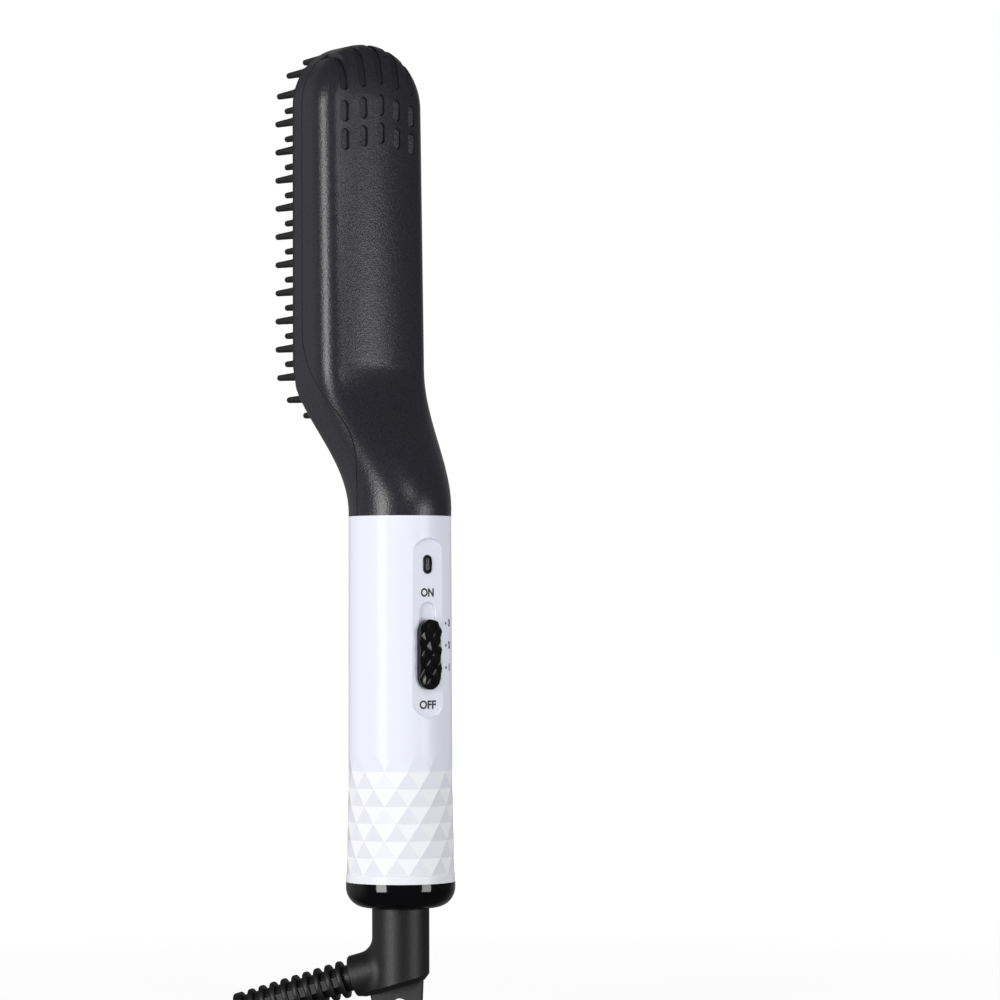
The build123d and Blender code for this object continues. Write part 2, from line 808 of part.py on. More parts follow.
def make_carrier():
    """A trough that holds the circuit board, with a bridge and a boss near each end."""
    seat_y = board_face_y - board_thickness
    trough = insert_solid(insert_radius, seat_y, z_carrier, z_spigot - carrier_gap)
    trough -= rod_z(insert_radius - carrier_wall, z_carrier - 1, z_spigot)
    for x, z in board_screw_places():
        bridge = bar(-insert_radius, insert_radius, seat_y - 2.4, seat_y, z - 3.2, z + 3.2)
        trough += bridge & rod_z(insert_radius, z_carrier, z_spigot)
        trough += rod_y(boss_radius, seat_y - 6, seat_y, x, z)
        trough -= rod_y(screw_radius, seat_y - 4.6, seat_y + 1, x, z)
    return trough


def board_screw_places():
    return [(0, z_board + 5), (-6.2, z_board_top - 4)]


def make_board():
    board = bar(-board_width / 2, board_width / 2, board_face_y - board_thickness, board_face_y,
                z_board, z_board_top)
    for x, z in board_screw_places():
        board -= rod_y(screw_radius + 0.15, -far, far, x, z)
    return board


def make_switch():
    """A slide switch: a folded metal case with a slot for its lever."""
    middle = z_knob + knob_travel / 2
    case = bar(-switch_width / 2, switch_width / 2, board_face_y, board_face_y + switch_height,
               middle - switch_length / 2, middle + switch_length / 2)
    case = fillet(case.edges().filter_by(Axis.Z).group_by(Axis.Y)[-1], 0.6)
    slot = knob_travel + lever_width + 0.4
    return case - bar(-1.3, 1.3, board_face_y + switch_height - 2.0, far, middle - slot / 2, middle + slot / 2)


def make_lever():
    """The switch's own lever, which stands up into the fork of the knob's stem."""
    top = board_face_y + switch_height
    return bar(-1.0, 1.0, top - 1.8, top + 1.7, z_knob - lever_width / 2, z_knob + lever_width / 2)


def make_led():
    """The lamp behind the lens, on the board."""
    base = rod_y(1.9, board_face_y, board_face_y + 0.9, 0, z_indicator)
    body = rod_y(1.5, board_face_y + 0.5, board_face_y + 2.6, 0, z_indicator)
    return base + body + (Pos(0, board_face_y + 2.6, z_indicator) * Sphere(1.5))


def make_capacitor():
    """A round electrolytic capacitor that stands on the board."""
    z = z_board + 15
    can = rod_y(3.0, board_face_y + 0.3, board_face_y + 4.8, 3.6, z)
    can = fillet(can.edges().filter_by(GeomType.CIRCLE), 0.4)
    return can + rod_y(0.4, board_face_y, board_face_y + 0.4, 3.6, z)


def make_film_capacitor():
    z = z_board + 15
    box = bar(-8.2, -2.4, board_face_y, board_face_y + 3.8, z - 5.5, z + 5.5)
    return fillet(box.edges().filter_by(Axis.Y), 0.6)


def make_triac():
    """The power switch, lying flat on the board with its three legs."""
    z = z_indicator - 13
    body = bar(-9.0, -4.6, board_face_y + 0.2, board_face_y + 2.4, z - 2.4, z + 2.4)
    for i in (-1, 0, 1):
        leg_x = -6.8 + i * 1.3
        body += bar(leg_x - 0.25, leg_x + 0.25, board_face_y, board_face_y + 0.7, z - 5.5, z - 2.0)
    return body


def make_controller():
    """The timing chip on the board."""
    z = z_indicator - 12
    chip = bar(4.4, 8.4, board_face_y + 0.1, board_face_y + 1.5, z - 2.6, z + 2.6)
    for i in range(4):
        leg_z = z - 1.95 + i * 1.3
        chip += bar(3.6, 9.2, board_face_y, board_face_y + 0.4, leg_z - 0.2, leg_z + 0.2)
    return chip


def lead(points):
    """A wire along straight runs joined by tangent arcs, each as large as its runs allow."""
    corners = [Vector(*p) for p in points]
    radii = []
    for before, at, after in zip(corners, corners[1:], corners[2:]):
        run = min((at - before).length, (after - at).length)
        turn = radians((at - before).get_angle(after - at))
        radii.append(0.45 * run / tan(turn / 2))
    path = FilletPolyline(*corners, radius=radii)
    section = Plane(origin=corners[0], z_dir=(corners[1] - corners[0])) * Circle(lead_radius)
    return sweep(section, path)


def make_heater_leads():
    """Two insulated wires from the heater's lower end, down the neck, to the board's top edge."""
    wires = []
    start = z_comb_middle - heater_length / 2 - lead_gap
    heater_y = (plate_back_y + heater_back_y) / 2
    board_y = board_face_y - board_thickness / 2
    for side in (-1, 1):
        x = side * lead_spread
        wires.append(lead([
            (x, heater_y, start),
            (x, heater_y, start - 9),
            (x, -21.5, z_arc_low - 6),
            (x, -14.0, z_collar + 27),
            (x, -5.0, z_collar + 14),
            (x, -1.0, z_collar + 2),
            (x * 1.1, 1.5, z_spigot + 5),
            (x * 1.2, board_y, z_board_top + 1.8),
            (x * 1.2, board_y, z_board_top + lead_gap),
        ]))
    return Compound(children=wires)


def make_socket():
    """The fixed half of the rotary contact, keyed in the handle's bore."""
    block = insert_solid(insert_radius, insert_flat_y, z_socket, z_socket + socket_height)
    block -= rod_z(socket_cavity_radius, z_socket - 1, z_socket + socket_height - 1.6)
    block -= bar(-leaf_x - 0.9, leaf_x + 0.9, -leaf_width / 2 - 0.1, leaf_width / 2 + 0.1,
                 z_socket - 1, far * 2)
    return block


ring_low = z_cap + swivel_neck_height + rotor_shoulder_height
ring_high = ring_low + ring_contact_height
pin_high = ring_high + pin_contact_rise
leaf_x = ring_contact_radius + 0.05 + leaf_thickness
leaf_top = z_carrier + 1.5


def make_leaves():
    """Two brass leaves: one bears on the ring and the other on the pin's end."""
    half = leaf_width / 2
    ring_leaf = bar(leaf_x - leaf_thickness, leaf_x, -half, half, ring_low + 2, leaf_top)
    pin_leaf = bar(-leaf_x, -leaf_x + leaf_thickness, -half, half, pin_high + 0.05, leaf_top)
    pin_leaf += bar(-leaf_x, pin_contact_radius, -half, half, pin_high + 0.05, pin_high + 0.05 + leaf_thickness)
    return Compound(children=[ring_leaf, pin_leaf])


def make_supply_leads():
    """Two short wires from the leaves to the board's lower edge."""
    board_y = board_face_y - board_thickness / 2
    wires = []
    for side in (-1, 1):
        x = side * (leaf_x - leaf_thickness / 2)
        wires.append(lead([
            (x, 0, leaf_top + lead_gap),
            (x, 0, leaf_top + 1.8),
            (x, board_y, z_board - 1.8),
            (x, board_y, z_board - lead_gap),
        ]))
    return Compound(children=wires)


def make_cap():
    """The end cap: a rounded cup with a spigot that is pressed into the handle."""
    cup = rod_z(cap_radius, z_cap, z_handle)
    cup = fillet(cup.edges().group_by(Axis.Z)[0], cap_corner)
    cup += insert_solid(insert_radius, insert_flat_y, z_handle - 1, z_socket)
    cup -= rod_z(cap_cavity_radius, z_cap + cap_floor, z_socket + 1)
    return cup - rod_z(swivel_neck_radius + swivel_clearance, z_cap - 1, z_handle)


# Cord end, drawn with the arm along +X and then turned about Z


def arm_frame(along=0.0):
    """A plane square to the arm, this far out from the handle's axis."""
    droop = radians(arm_droop)
    direction = Vector(cos(droop), 0, -sin(droop))
    corner = Vector(0, 0, z_cap - elbow_drop)
    return Plane(origin=corner + direction * along, x_dir=(0, 1, 0), z_dir=direction)


def arm_rod(radius, start, end):
    return extrude(arm_frame(start) * Circle(radius), end - start)


def turned(shape):
    return Rot(0, 0, arm_turn) * shape


def make_elbow():
    """One moulding: the stem under the cap, the arm, and the loop to hang the tool by."""
    top = z_cap - elbow_gap
    stem = rod_z(elbow_radius, z_cap - 2 * elbow_drop, top)
    arm = arm_rod(arm_radius, 0, arm_length)
    arm = fillet(arm.edges().sort_by(Axis.X)[-1], arm_end_rounding)
    body = stem + arm
    crease = [e for e in body.edges() if e.geom_type == GeomType.BSPLINE]
    body = fillet(crease, elbow_fillet)
    body -= under_arm()
    low_edges = [e for e in body.edges() if e.center().X < -1 and e.center().Z < z_cap - elbow_drop]
    body = chamfer(low_edges, elbow_chamfer)
    body += hanging_tab()
    body += rod_z(swivel_neck_radius, top - 0.5, z_cap + swivel_neck_height)
    groove = rod_z(far, clip_low, clip_low + clip_thickness + 0.1) - rod_z(clip_groove_radius, 0, far)
    body -= groove
    body -= rod_z(wire_way_radius, z_cap - elbow_drop, far)
    body -= arm_rod(wire_way_radius - 0.4, 0, arm_length)
    body -= arm_rod(arm_bore_radius + 0.1, arm_length - arm_socket_depth, arm_length + 1)
    return turned(body)


def under_arm():
    """All that lies below a plane just under the arm, to close the bottom of the stem."""
    plane = arm_frame(0)
    down = plane.y_dir if plane.y_dir.Z < 0 else -plane.y_dir
    cut = Plane(origin=plane.origin + down * (arm_radius + 0.3), x_dir=plane.z_dir, z_dir=down)
    return extrude(cut * Rectangle(far, far), far)


def hanging_tab():
    """A flat tab in the arm's plane, rounded at its foot, with the hanging hole through it."""
    foot = CenterArc((hang_loop_shift, 0), hang_loop_radius, 180, 180)
    left, right = foot @ 0, foot @ 1
    high = z_cap - elbow_drop - 3
    sides = Polyline(right, (tab_reach_arm, high - 3), (tab_reach_arm, high), (-tab_reach_back, high), left)
    tab = extrude(Plane.XZ * make_face([foot, sides]), hang_tab_thickness / 2, both=True)
    tab = chamfer(tab.edges().group_by(Axis.Y)[0] + tab.edges().group_by(Axis.Y)[-1], 0.5)
    return tab - rod_y(hang_hole_radius, -far, far)


clip_low = z_cap + cap_floor + 0.15


def make_clip():
    """The open ring in the neck's groove that keeps the cord end in the cap."""
    z1 = clip_low + clip_thickness
    ring = rod_z(clip_radius, clip_low, z1) - rod_z(clip_groove_radius + 0.05, 0, far)
    return turned(ring - bar(-far, 0, -2.2, 2.2, 0, far))


def make_rotor():
    """The plastic core that turns with the elbow and carries the two contacts."""
    low = z_cap + swivel_neck_height
    core = rod_z(rotor_shoulder_radius, low, ring_low)
    core += rod_z(ring_contact_radius - ring_contact_wall - 0.02, low, ring_high + 0.6)
    return core - rod_z(pin_contact_radius + 0.02, ring_low + 1, far * 2)


def make_ring_contact():
    inner = ring_contact_radius - ring_contact_wall
    return rod_z(ring_contact_radius, ring_low, ring_high) - rod_z(inner, 0, far * 2)


def make_pin_contact():
    pin = rod_z(pin_contact_radius, ring_low + 1, pin_high)
    return fillet(pin.edges().group_by(Axis.Z)[-1], 0.5)


def make_strain_relief():
    """A rubber sleeve of rings on a core, tied by a web on each side, with the cord's bore."""
    end = arm_length + relief_first_rib + (relief_ribs - 1) * relief_rib_pitch + relief_end_ring
    body = arm_rod(relief_core_radius, arm_length - 1, end)
    body += arm_rod(arm_bore_radius, arm_length - arm_socket_depth + 0.1, arm_length)
    rings = []
    for i in range(relief_ribs):
        start = arm_length + relief_first_rib + i * relief_rib_pitch
        radius = mix(i / (relief_ribs - 1), relief_root_radius, relief_tip_radius)
        width = relief_end_ring if i == relief_ribs - 1 else relief_rib_width
        ring = arm_rod(radius, start, start + width)
        rings.append(fillet(ring.edges().filter_by(GeomType.CIRCLE), 0.45))
    body = body + rings
    web_start = arm_length + relief_first_rib
    half = relief_tip_radius - 0.5
    web = extrude(arm_frame(web_start) * Rectangle(2 * half, relief_web_width),
                  (relief_ribs - 1) * relief_rib_pitch + 1)
    body += web
    return turned(body - arm_rod(cord_bore_radius, 0, 2 * end))


def make_everything():
    front_shell, back_shell = make_shells()
    bezel, lens = make_indicator()
    spigot_places = [(spigot_screw_x, spigot_screw_z), (-spigot_screw_x, spigot_screw_z)]
    return {
        "front_shell": front_shell,
        "back_shell": back_shell,
        "comb_frame": make_comb_frame(),
        "heating_plate": make_heating_plate(),
        "heater_element": make_heater(),
        "heater_insulator": make_insulator(),
        "clamp_plate": make_clamp_plate(),
        "thermal_fuse": make_fuse(),
        "temperature_sensor": make_sensor(),
        "plate_screws": screws_at(plate_screw_places(), plate_back_y, plate_flange + 1.6),
        "clamp_screws": screws_at(clamp_screw_places(), clamp_back_y, clamp_thickness + 3.0),
        "shell_screws": screws_at(spigot_places, spigot_screw_seat, spigot_screw_seat - spigot_screw_end - 0.2),
        "heater_leads": make_heater_leads(),
        "handle_sleeve": make_sleeve(),
        "level_knob": make_knob(),
        "indicator_bezel": bezel,
        "indicator_lens": lens,
        "board_carrier": make_carrier(),
        "control_board": make_board(),
        "board_screws": screws_at(board_screw_places(), board_face_y, board_thickness + 4.4),
        "slide_switch": make_switch(),
        "switch_lever": make_lever(),
        "indicator_lamp": make_led(),
        "smoothing_capacitor": make_capacitor(),
        "film_capacitor": make_film_capacitor(),
        "power_triac": make_triac(),
        "controller_chip": make_controller(),
        "contact_socket": make_socket(),
        "contact_leaves": make_leaves(),
        "supply_leads": make_supply_leads(),
        "end_cap": make_cap(),
        "cord_elbow": make_elbow(),
        "retaining_clip": make_clip(),
        "contact_rotor": make_rotor(),
        "ring_contact": make_ring_contact(),
        "pin_contact": make_pin_contact(),
        "strain_relief": make_strain_relief(),
    }


os.makedirs("parts", exist_ok=True)
for name, shape in make_everything().items():
    export_step(shape, f"parts/{name}.step")
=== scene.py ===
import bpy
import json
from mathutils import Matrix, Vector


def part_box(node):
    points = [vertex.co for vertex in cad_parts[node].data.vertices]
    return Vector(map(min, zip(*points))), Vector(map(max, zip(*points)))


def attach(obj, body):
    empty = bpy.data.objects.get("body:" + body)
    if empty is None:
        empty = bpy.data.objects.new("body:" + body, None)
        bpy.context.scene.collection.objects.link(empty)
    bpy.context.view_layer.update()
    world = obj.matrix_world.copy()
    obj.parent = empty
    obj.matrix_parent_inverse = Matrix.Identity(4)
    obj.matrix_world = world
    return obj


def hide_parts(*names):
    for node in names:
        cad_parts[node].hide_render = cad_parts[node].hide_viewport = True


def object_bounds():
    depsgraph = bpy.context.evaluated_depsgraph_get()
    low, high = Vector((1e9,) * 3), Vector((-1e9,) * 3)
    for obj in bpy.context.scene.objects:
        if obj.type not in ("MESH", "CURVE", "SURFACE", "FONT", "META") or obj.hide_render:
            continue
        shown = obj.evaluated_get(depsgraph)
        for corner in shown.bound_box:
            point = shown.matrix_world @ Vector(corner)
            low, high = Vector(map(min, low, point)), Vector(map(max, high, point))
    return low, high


bl_info = {
    "name": "Beard straightener brush",
    "version": (1, 0, 0),
    "blender": (4, 5, 0),
    "location": "View3D > Sidebar > Brush",
    "description": "Comb, plate, knob, relief, markings, finishes and studio of a beard straightener brush",
    "category": "Object",
}

import json
from math import cos, pi, radians, sin

import bmesh
import bpy
from bpy.props import FloatProperty, FloatVectorProperty, IntProperty, PointerProperty, StringProperty
from mathutils import Matrix, Vector

# The brush stands upright as in use: Z runs up the handle, the comb faces -Y, the controls +Y.
# All lengths are metres, and MM turns a size in millimetres into one.
MM = 0.001

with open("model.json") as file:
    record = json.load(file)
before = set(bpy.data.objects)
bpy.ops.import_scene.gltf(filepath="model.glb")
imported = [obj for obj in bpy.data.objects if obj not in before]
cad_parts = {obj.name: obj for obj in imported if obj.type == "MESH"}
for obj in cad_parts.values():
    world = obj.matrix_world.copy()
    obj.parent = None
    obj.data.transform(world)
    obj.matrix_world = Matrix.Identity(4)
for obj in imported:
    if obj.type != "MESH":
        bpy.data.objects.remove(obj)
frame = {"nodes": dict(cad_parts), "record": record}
cad_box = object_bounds()
NODES = frame["nodes"]

# Main places, taken from the solids
COMB_LOW, COMB_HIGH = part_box("comb_frame")
PLATE_LOW, PLATE_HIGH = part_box("heating_plate")
SLEEVE_LOW, SLEEVE_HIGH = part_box("handle_sleeve")
KNOB_LOW, KNOB_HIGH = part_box("level_knob")
COMB_RADIUS = (COMB_HIGH.x - COMB_LOW.x) / 2
ARC_LOW = COMB_LOW.z + COMB_RADIUS
ARC_HIGH = COMB_HIGH.z - COMB_RADIUS
# Up to here the sleeve has its cut facets, and above it is smooth.
FACETS_TOP = SLEEVE_LOW.z + 32.52 * MM
# Edges sharper than this aren't smoothed over.
CREASE = radians(38)
# The rounding of small moulded edges
SOFT_EDGE = 0.3 * MM
# A capital's height as a share of the font's size
CAPITAL_SHARE = 0.7
# A distance from the axis that is well outside the sleeve
OUTSIDE = 40 * MM

# The cord's bore, from the relief's end in the elbow to its free end
BORE = next(mount for mount in frame["record"]["mounts"] if mount["name"] == "cord_bore")
BORE_AXIS = Vector(BORE["axis"])
BORE_LENGTH = BORE["dims"]["length_mm"] * MM
BORE_RADIUS = BORE["dims"]["r_mm"] * MM
BORE_START = Vector(BORE["pos_m"]) - BORE_AXIS * BORE_LENGTH / 2


# Sizes and colours that can be changed


class CombSizes(bpy.types.PropertyGroup):
    tooth_length: FloatProperty(
        name="Tooth length",
        description="From the comb's face to a tooth's tip",
        default=10.7 * MM,
        unit="LENGTH",
    )
    root_radius: FloatProperty(
        name="Root radius",
        description="A tooth's radius where it leaves the comb's face",
        default=1.3 * MM,
        unit="LENGTH",
    )
    tip_radius: FloatProperty(
        name="Tip radius",
        description="A tooth's radius just before its round tip",
        default=0.88 * MM,
        unit="LENGTH",
    )
    root_flare: FloatProperty(
        name="Root flare",
        description="How much a tooth widens in the moulded fillet at its root",
        default=0.3 * MM,
        unit="LENGTH",
    )
    root_fillet: FloatProperty(
        name="Root fillet",
        description="How far the fillet at a tooth's root reaches up the tooth",
        default=1.1 * MM,
        unit="LENGTH",
    )
    root_sink: FloatProperty(
        name="Root sink",
        description="How deep a tooth's root lies in the rim",
        default=0.6 * MM,
        unit="LENGTH",
    )
    edge_inset: FloatProperty(
        name="Edge inset",
        description="From the comb's edge to the outer row of teeth",
        default=1.65 * MM,
        unit="LENGTH",
    )
    row_gap: FloatProperty(
        name="Row gap",
        description="From the outer row of teeth to the inner row",
        default=3.3 * MM,
        unit="LENGTH",
    )
    side_pitches: IntProperty(
        name="Side pitches",
        description="Tooth pitches along each straight side",
        default=10,
    )
    end_teeth: IntProperty(
        name="End teeth",
        description="Teeth round each end of the comb",
        default=7,
    )
    end_angle: FloatProperty(
        name="End angle",
        description="Where the first tooth of an end stands, from the comb's width",
        default=radians(15),
        unit="ROTATION",
    )
    rim_rounding: FloatProperty(
        name="Rim rounding",
        description="Rounding of the rim's outer front edge",
        default=1.2 * MM,
        unit="LENGTH",
    )
    window_inset: FloatProperty(
        name="Window inset",
        description="From the comb's edge to its window",
        default=7.45 * MM,
        unit="LENGTH",
    )


class PlateSizes(bpy.types.PropertyGroup):
    face_sink: FloatProperty(
        name="Face sink",
        description="How far the plate's face lies behind the comb's face",
        default=0.5 * MM,
        unit="LENGTH",
    )
    window_gap: FloatProperty(
        name="Window gap",
        description="Between the plate's face and the comb's window",
        default=0.2 * MM,
        unit="LENGTH",
    )
    flange: FloatProperty(
        name="Flange",
        description="Thickness of the flange behind the comb",
        default=2.0 * MM,
        unit="LENGTH",
    )
    fin_width: FloatProperty(
        name="Fin width",
        description="Width of a fin at its root",
        default=4.4 * MM,
        unit="LENGTH",
    )
    fin_tip_width: FloatProperty(
        name="Fin tip width",
        description="Width of a fin at its tip",
        default=3.4 * MM,
        unit="LENGTH",
    )
    fin_thickness: FloatProperty(
        name="Fin thickness",
        description="Thickness of a fin at its root",
        default=1.5 * MM,
        unit="LENGTH",
    )
    fin_tip_thickness: FloatProperty(
        name="Fin tip thickness",
        description="Thickness of a fin at its tip",
        default=0.9 * MM,
        unit="LENGTH",
    )
    fin_gap: FloatProperty(
        name="Fin gap",
        description="Between the fins' three columns",
        default=1.5 * MM,
        unit="LENGTH",
    )
    fin_rows: IntProperty(
        name="Fin rows",
        description="Rows of fins along the plate",
        default=19,
    )
    fin_rounding: FloatProperty(
        name="Fin rounding",
        description="Rounding of a fin's upright edges and of its tip",
        default=0.35 * MM,
        unit="LENGTH",
    )
    fin_sink: FloatProperty(
        name="Fin sink",
        description="How deep a fin's root lies in the plate",
        default=0.4 * MM,
        unit="LENGTH",
    )
    post_radius: FloatProperty(
        name="Post radius",
        description="Radius of the two posts that the clamp is screwed to",
        default=2.3 * MM,
        unit="LENGTH",
    )
    post_reach: FloatProperty(
        name="Post reach",
        description="From the plate's middle to each post",
        default=32.5 * MM,
        unit="LENGTH",
    )
    screw_radius: FloatProperty(
        name="Screw radius",
        description="Radius of the hole in each post",
        default=1.0 * MM,
        unit="LENGTH",
    )


class ShellSizes(bpy.types.PropertyGroup):
    # These sizes place the painted shade along the head's parting line and in its corners.
    parting_depth: FloatProperty(
        name="Parting depth",
        description="How far the head's parting line lies in front of the handle's axis",
        default=23.8 * MM,
        unit="LENGTH",
    )
    parting_start: FloatProperty(
        name="Parting start",
        description="From the handle's top to where the parting line leaves the axis",
        default=13 * MM,
        unit="LENGTH",
    )
    parting_end: FloatProperty(
        name="Parting end",
        description="From the handle's top to where the parting line runs straight again",
        default=56 * MM,
        unit="LENGTH",
    )
    parting_pull: FloatProperty(
        name="Parting pull",
        description="Length of the bend's handles as a share of its height",
        default=0.42,
        subtype="FACTOR",
    )
    parting_dark: FloatProperty(
        name="Parting's dark half",
        description="From the parting line's middle to where its dark starts to fade",
        default=0.1 * MM,
        unit="LENGTH",
    )
    parting_fade: FloatProperty(
        name="Parting's fade",
        description="From the parting line's middle to where its dark has gone",
        default=0.28 * MM,
        unit="LENGTH",
    )
    # How far the painted shade reaches from a wall into the vents and grooves.
    corner_reach: FloatProperty(
        name="Corner reach",
        description="How far a wall darkens the vents and grooves beside it",
        default=0.8 * MM,
        unit="LENGTH",
    )


class KnobSizes(bpy.types.PropertyGroup):
    grip_height: FloatProperty(
        name="Grip height",
        description="How far the grip's points stand out of the knob's face",
        default=0.9 * MM,
        unit="LENGTH",
    )
    pitch_across: FloatProperty(
        name="Pitch across",
        description="Width of one diamond of the grip",
        default=4.1 * MM,
        unit="LENGTH",
    )
    pitch_along: FloatProperty(
        name="Pitch along",
        description="Length of one diamond of the grip",
        default=5.45 * MM,
        unit="LENGTH",
    )
    shift: FloatProperty(
        name="Shift",
        description="From the knob's middle up to a diamond's middle",
        default=1.3 * MM,
        unit="LENGTH",
    )
    half_width: FloatProperty(
        name="Half width",
        description="Half of the knob's width, and the radius of its ends",
        default=3.8 * MM,
        unit="LENGTH",
    )
    plate: FloatProperty(
        name="Plate",
        description="Thickness of the knob's plate under the grip",
        default=1.1 * MM,
        unit="LENGTH",
    )
    rib_width: FloatProperty(
        name="Rib width",
        description="Width of the rib that runs in the sleeve's track",
        default=5.5 * MM,
        unit="LENGTH",
    )
    rib_height: FloatProperty(
        name="Rib height",
        description="How far the rib reaches into the track",
        default=0.7 * MM,
        unit="LENGTH",
    )
    rib_inset: FloatProperty(
        name="Rib inset",
        description="From the knob's ends to the rib's",
        default=1.55 * MM,
        unit="LENGTH",
    )
    stem_width: FloatProperty(
        name="Stem width",
        description="Width of the stem that reaches the switch",
        default=2.4 * MM,
        unit="LENGTH",
    )
    stem_length: FloatProperty(
        name="Stem length",
        description="Length of the stem along the slide",
        default=5.6 * MM,
        unit="LENGTH",
    )
    fork_width: FloatProperty(
        name="Fork width",
        description="Width of the fork that takes the switch's lever",
        default=2.0 * MM,
        unit="LENGTH",
    )
    fork_depth: FloatProperty(
        name="Fork depth",
        description="Depth of the fork in the stem",
        default=1.5 * MM,
        unit="LENGTH",
    )


class ReliefSizes(bpy.types.PropertyGroup):
    spigot_radius: FloatProperty(
        name="Spigot radius",
        description="Radius of the end that sits in the elbow",
        default=4.7 * MM,
        unit="LENGTH",
    )
    spigot_length: FloatProperty(
        name="Spigot length",
        description="Length of the end that sits in the elbow",
        default=7.9 * MM,
        unit="LENGTH",
    )
    core_radius: FloatProperty(
        name="Core radius",
        description="Radius of the sleeve between the ribs",
        default=3.9 * MM,
        unit="LENGTH",
    )
    root_radius: FloatProperty(
        name="First rib radius",
        description="Radius of the rib next to the elbow",
        default=5.55 * MM,
        unit="LENGTH",
    )
    tip_radius: FloatProperty(
        name="Last rib radius",
        description="Radius of the ring at the free end",
        default=5.0 * MM,
        unit="LENGTH",
    )
    ribs: IntProperty(
        name="Ribs",
        description="Ribs before the end ring",
        default=9,
    )
    rib_pitch: FloatProperty(
        name="Rib pitch",
        description="From one rib to the next",
        default=3.45 * MM,
        unit="LENGTH",
    )
    rib_width: FloatProperty(
        name="Rib width",
        description="Width of a rib along the cord",
        default=1.6 * MM,
        unit="LENGTH",
    )
    rib_rounding: FloatProperty(
        name="Rib rounding",
        description="Rounding of the ribs' edges",
        default=0.5 * MM,
        unit="LENGTH",
    )
    end_ring: FloatProperty(
        name="End ring",
        description="Width of the ring at the free end",
        default=2.7 * MM,
        unit="LENGTH",
    )
    web_width: FloatProperty(
        name="Web width",
        description="Width of the web that ties the ribs on each side",
        default=3.4 * MM,
        unit="LENGTH",
    )


class MarkingSizes(bpy.types.PropertyGroup):
    letter_height: FloatProperty(
        name="Letter height",
        description="Height of the words over and under the slide",
        default=2.3 * MM,
        unit="LENGTH",
    )
    letter_weight: FloatProperty(
        name="Letter weight",
        description="How much the words' strokes are thickened on each side",
        default=0.12 * MM,
        unit="LENGTH",
    )
    figure_height: FloatProperty(
        name="Figure height",
        description="Height of the heat levels' figures",
        default=1.9 * MM,
        unit="LENGTH",
    )
    figure_weight: FloatProperty(
        name="Figure weight",
        description="How much the figures' strokes are thickened on each side",
        default=0.15 * MM,
        unit="LENGTH",
    )
    figure_stretch: FloatProperty(
        name="Figure stretch",
        description="Width of the figures as a share of the font's",
        default=1.2,
        subtype="FACTOR",
    )
    upper_word: StringProperty(
        name="Upper word",
        description="The word over the slide",
        default="ON",
    )
    upper_stretch: FloatProperty(
        name="Upper word's stretch",
        description="Width of the upper word as a share of the font's",
        default=0.88,
        subtype="FACTOR",
    )
    lower_word: StringProperty(
        name="Lower word",
        description="The word under the slide",
        default="OFF",
    )
    upper_rise: FloatProperty(
        name="Upper word's rise",
        description="From the knob's middle to the upper word's",
        default=17.9 * MM,
        unit="LENGTH",
    )
    lower_drop: FloatProperty(
        name="Lower word's drop",
        description="From the knob's middle to the lower word's",
        default=14.7 * MM,
        unit="LENGTH",
    )
    middle_level: FloatProperty(
        name="Middle level",
        description="From the knob's middle to the middle heat level's mark",
        default=2.6 * MM,
        unit="LENGTH",
    )
    level_pitch: FloatProperty(
        name="Level pitch",
        description="From one heat level's mark to the next",
        default=6.45 * MM,
        unit="LENGTH",
    )
    dot_radius: FloatProperty(
        name="Dot radius",
        description="Radius of each heat level's dot",
        default=0.42 * MM,
        unit="LENGTH",
    )
    dot_turn: FloatProperty(
        name="Dot turn",
        description="Where the dots stand round the handle, from the middle of the panel",
        default=radians(27.5),
        unit="ROTATION",
    )
    figure_turn: FloatProperty(
        name="Figure turn",
        description="Where the figures stand round the handle, from the middle of the panel",
        default=radians(36.5),
        unit="ROTATION",
    )
    film: FloatProperty(
        name="Film",
        description="How far the printed ink stands on the plastic",
        default=0.03 * MM,
        unit="LENGTH",
    )


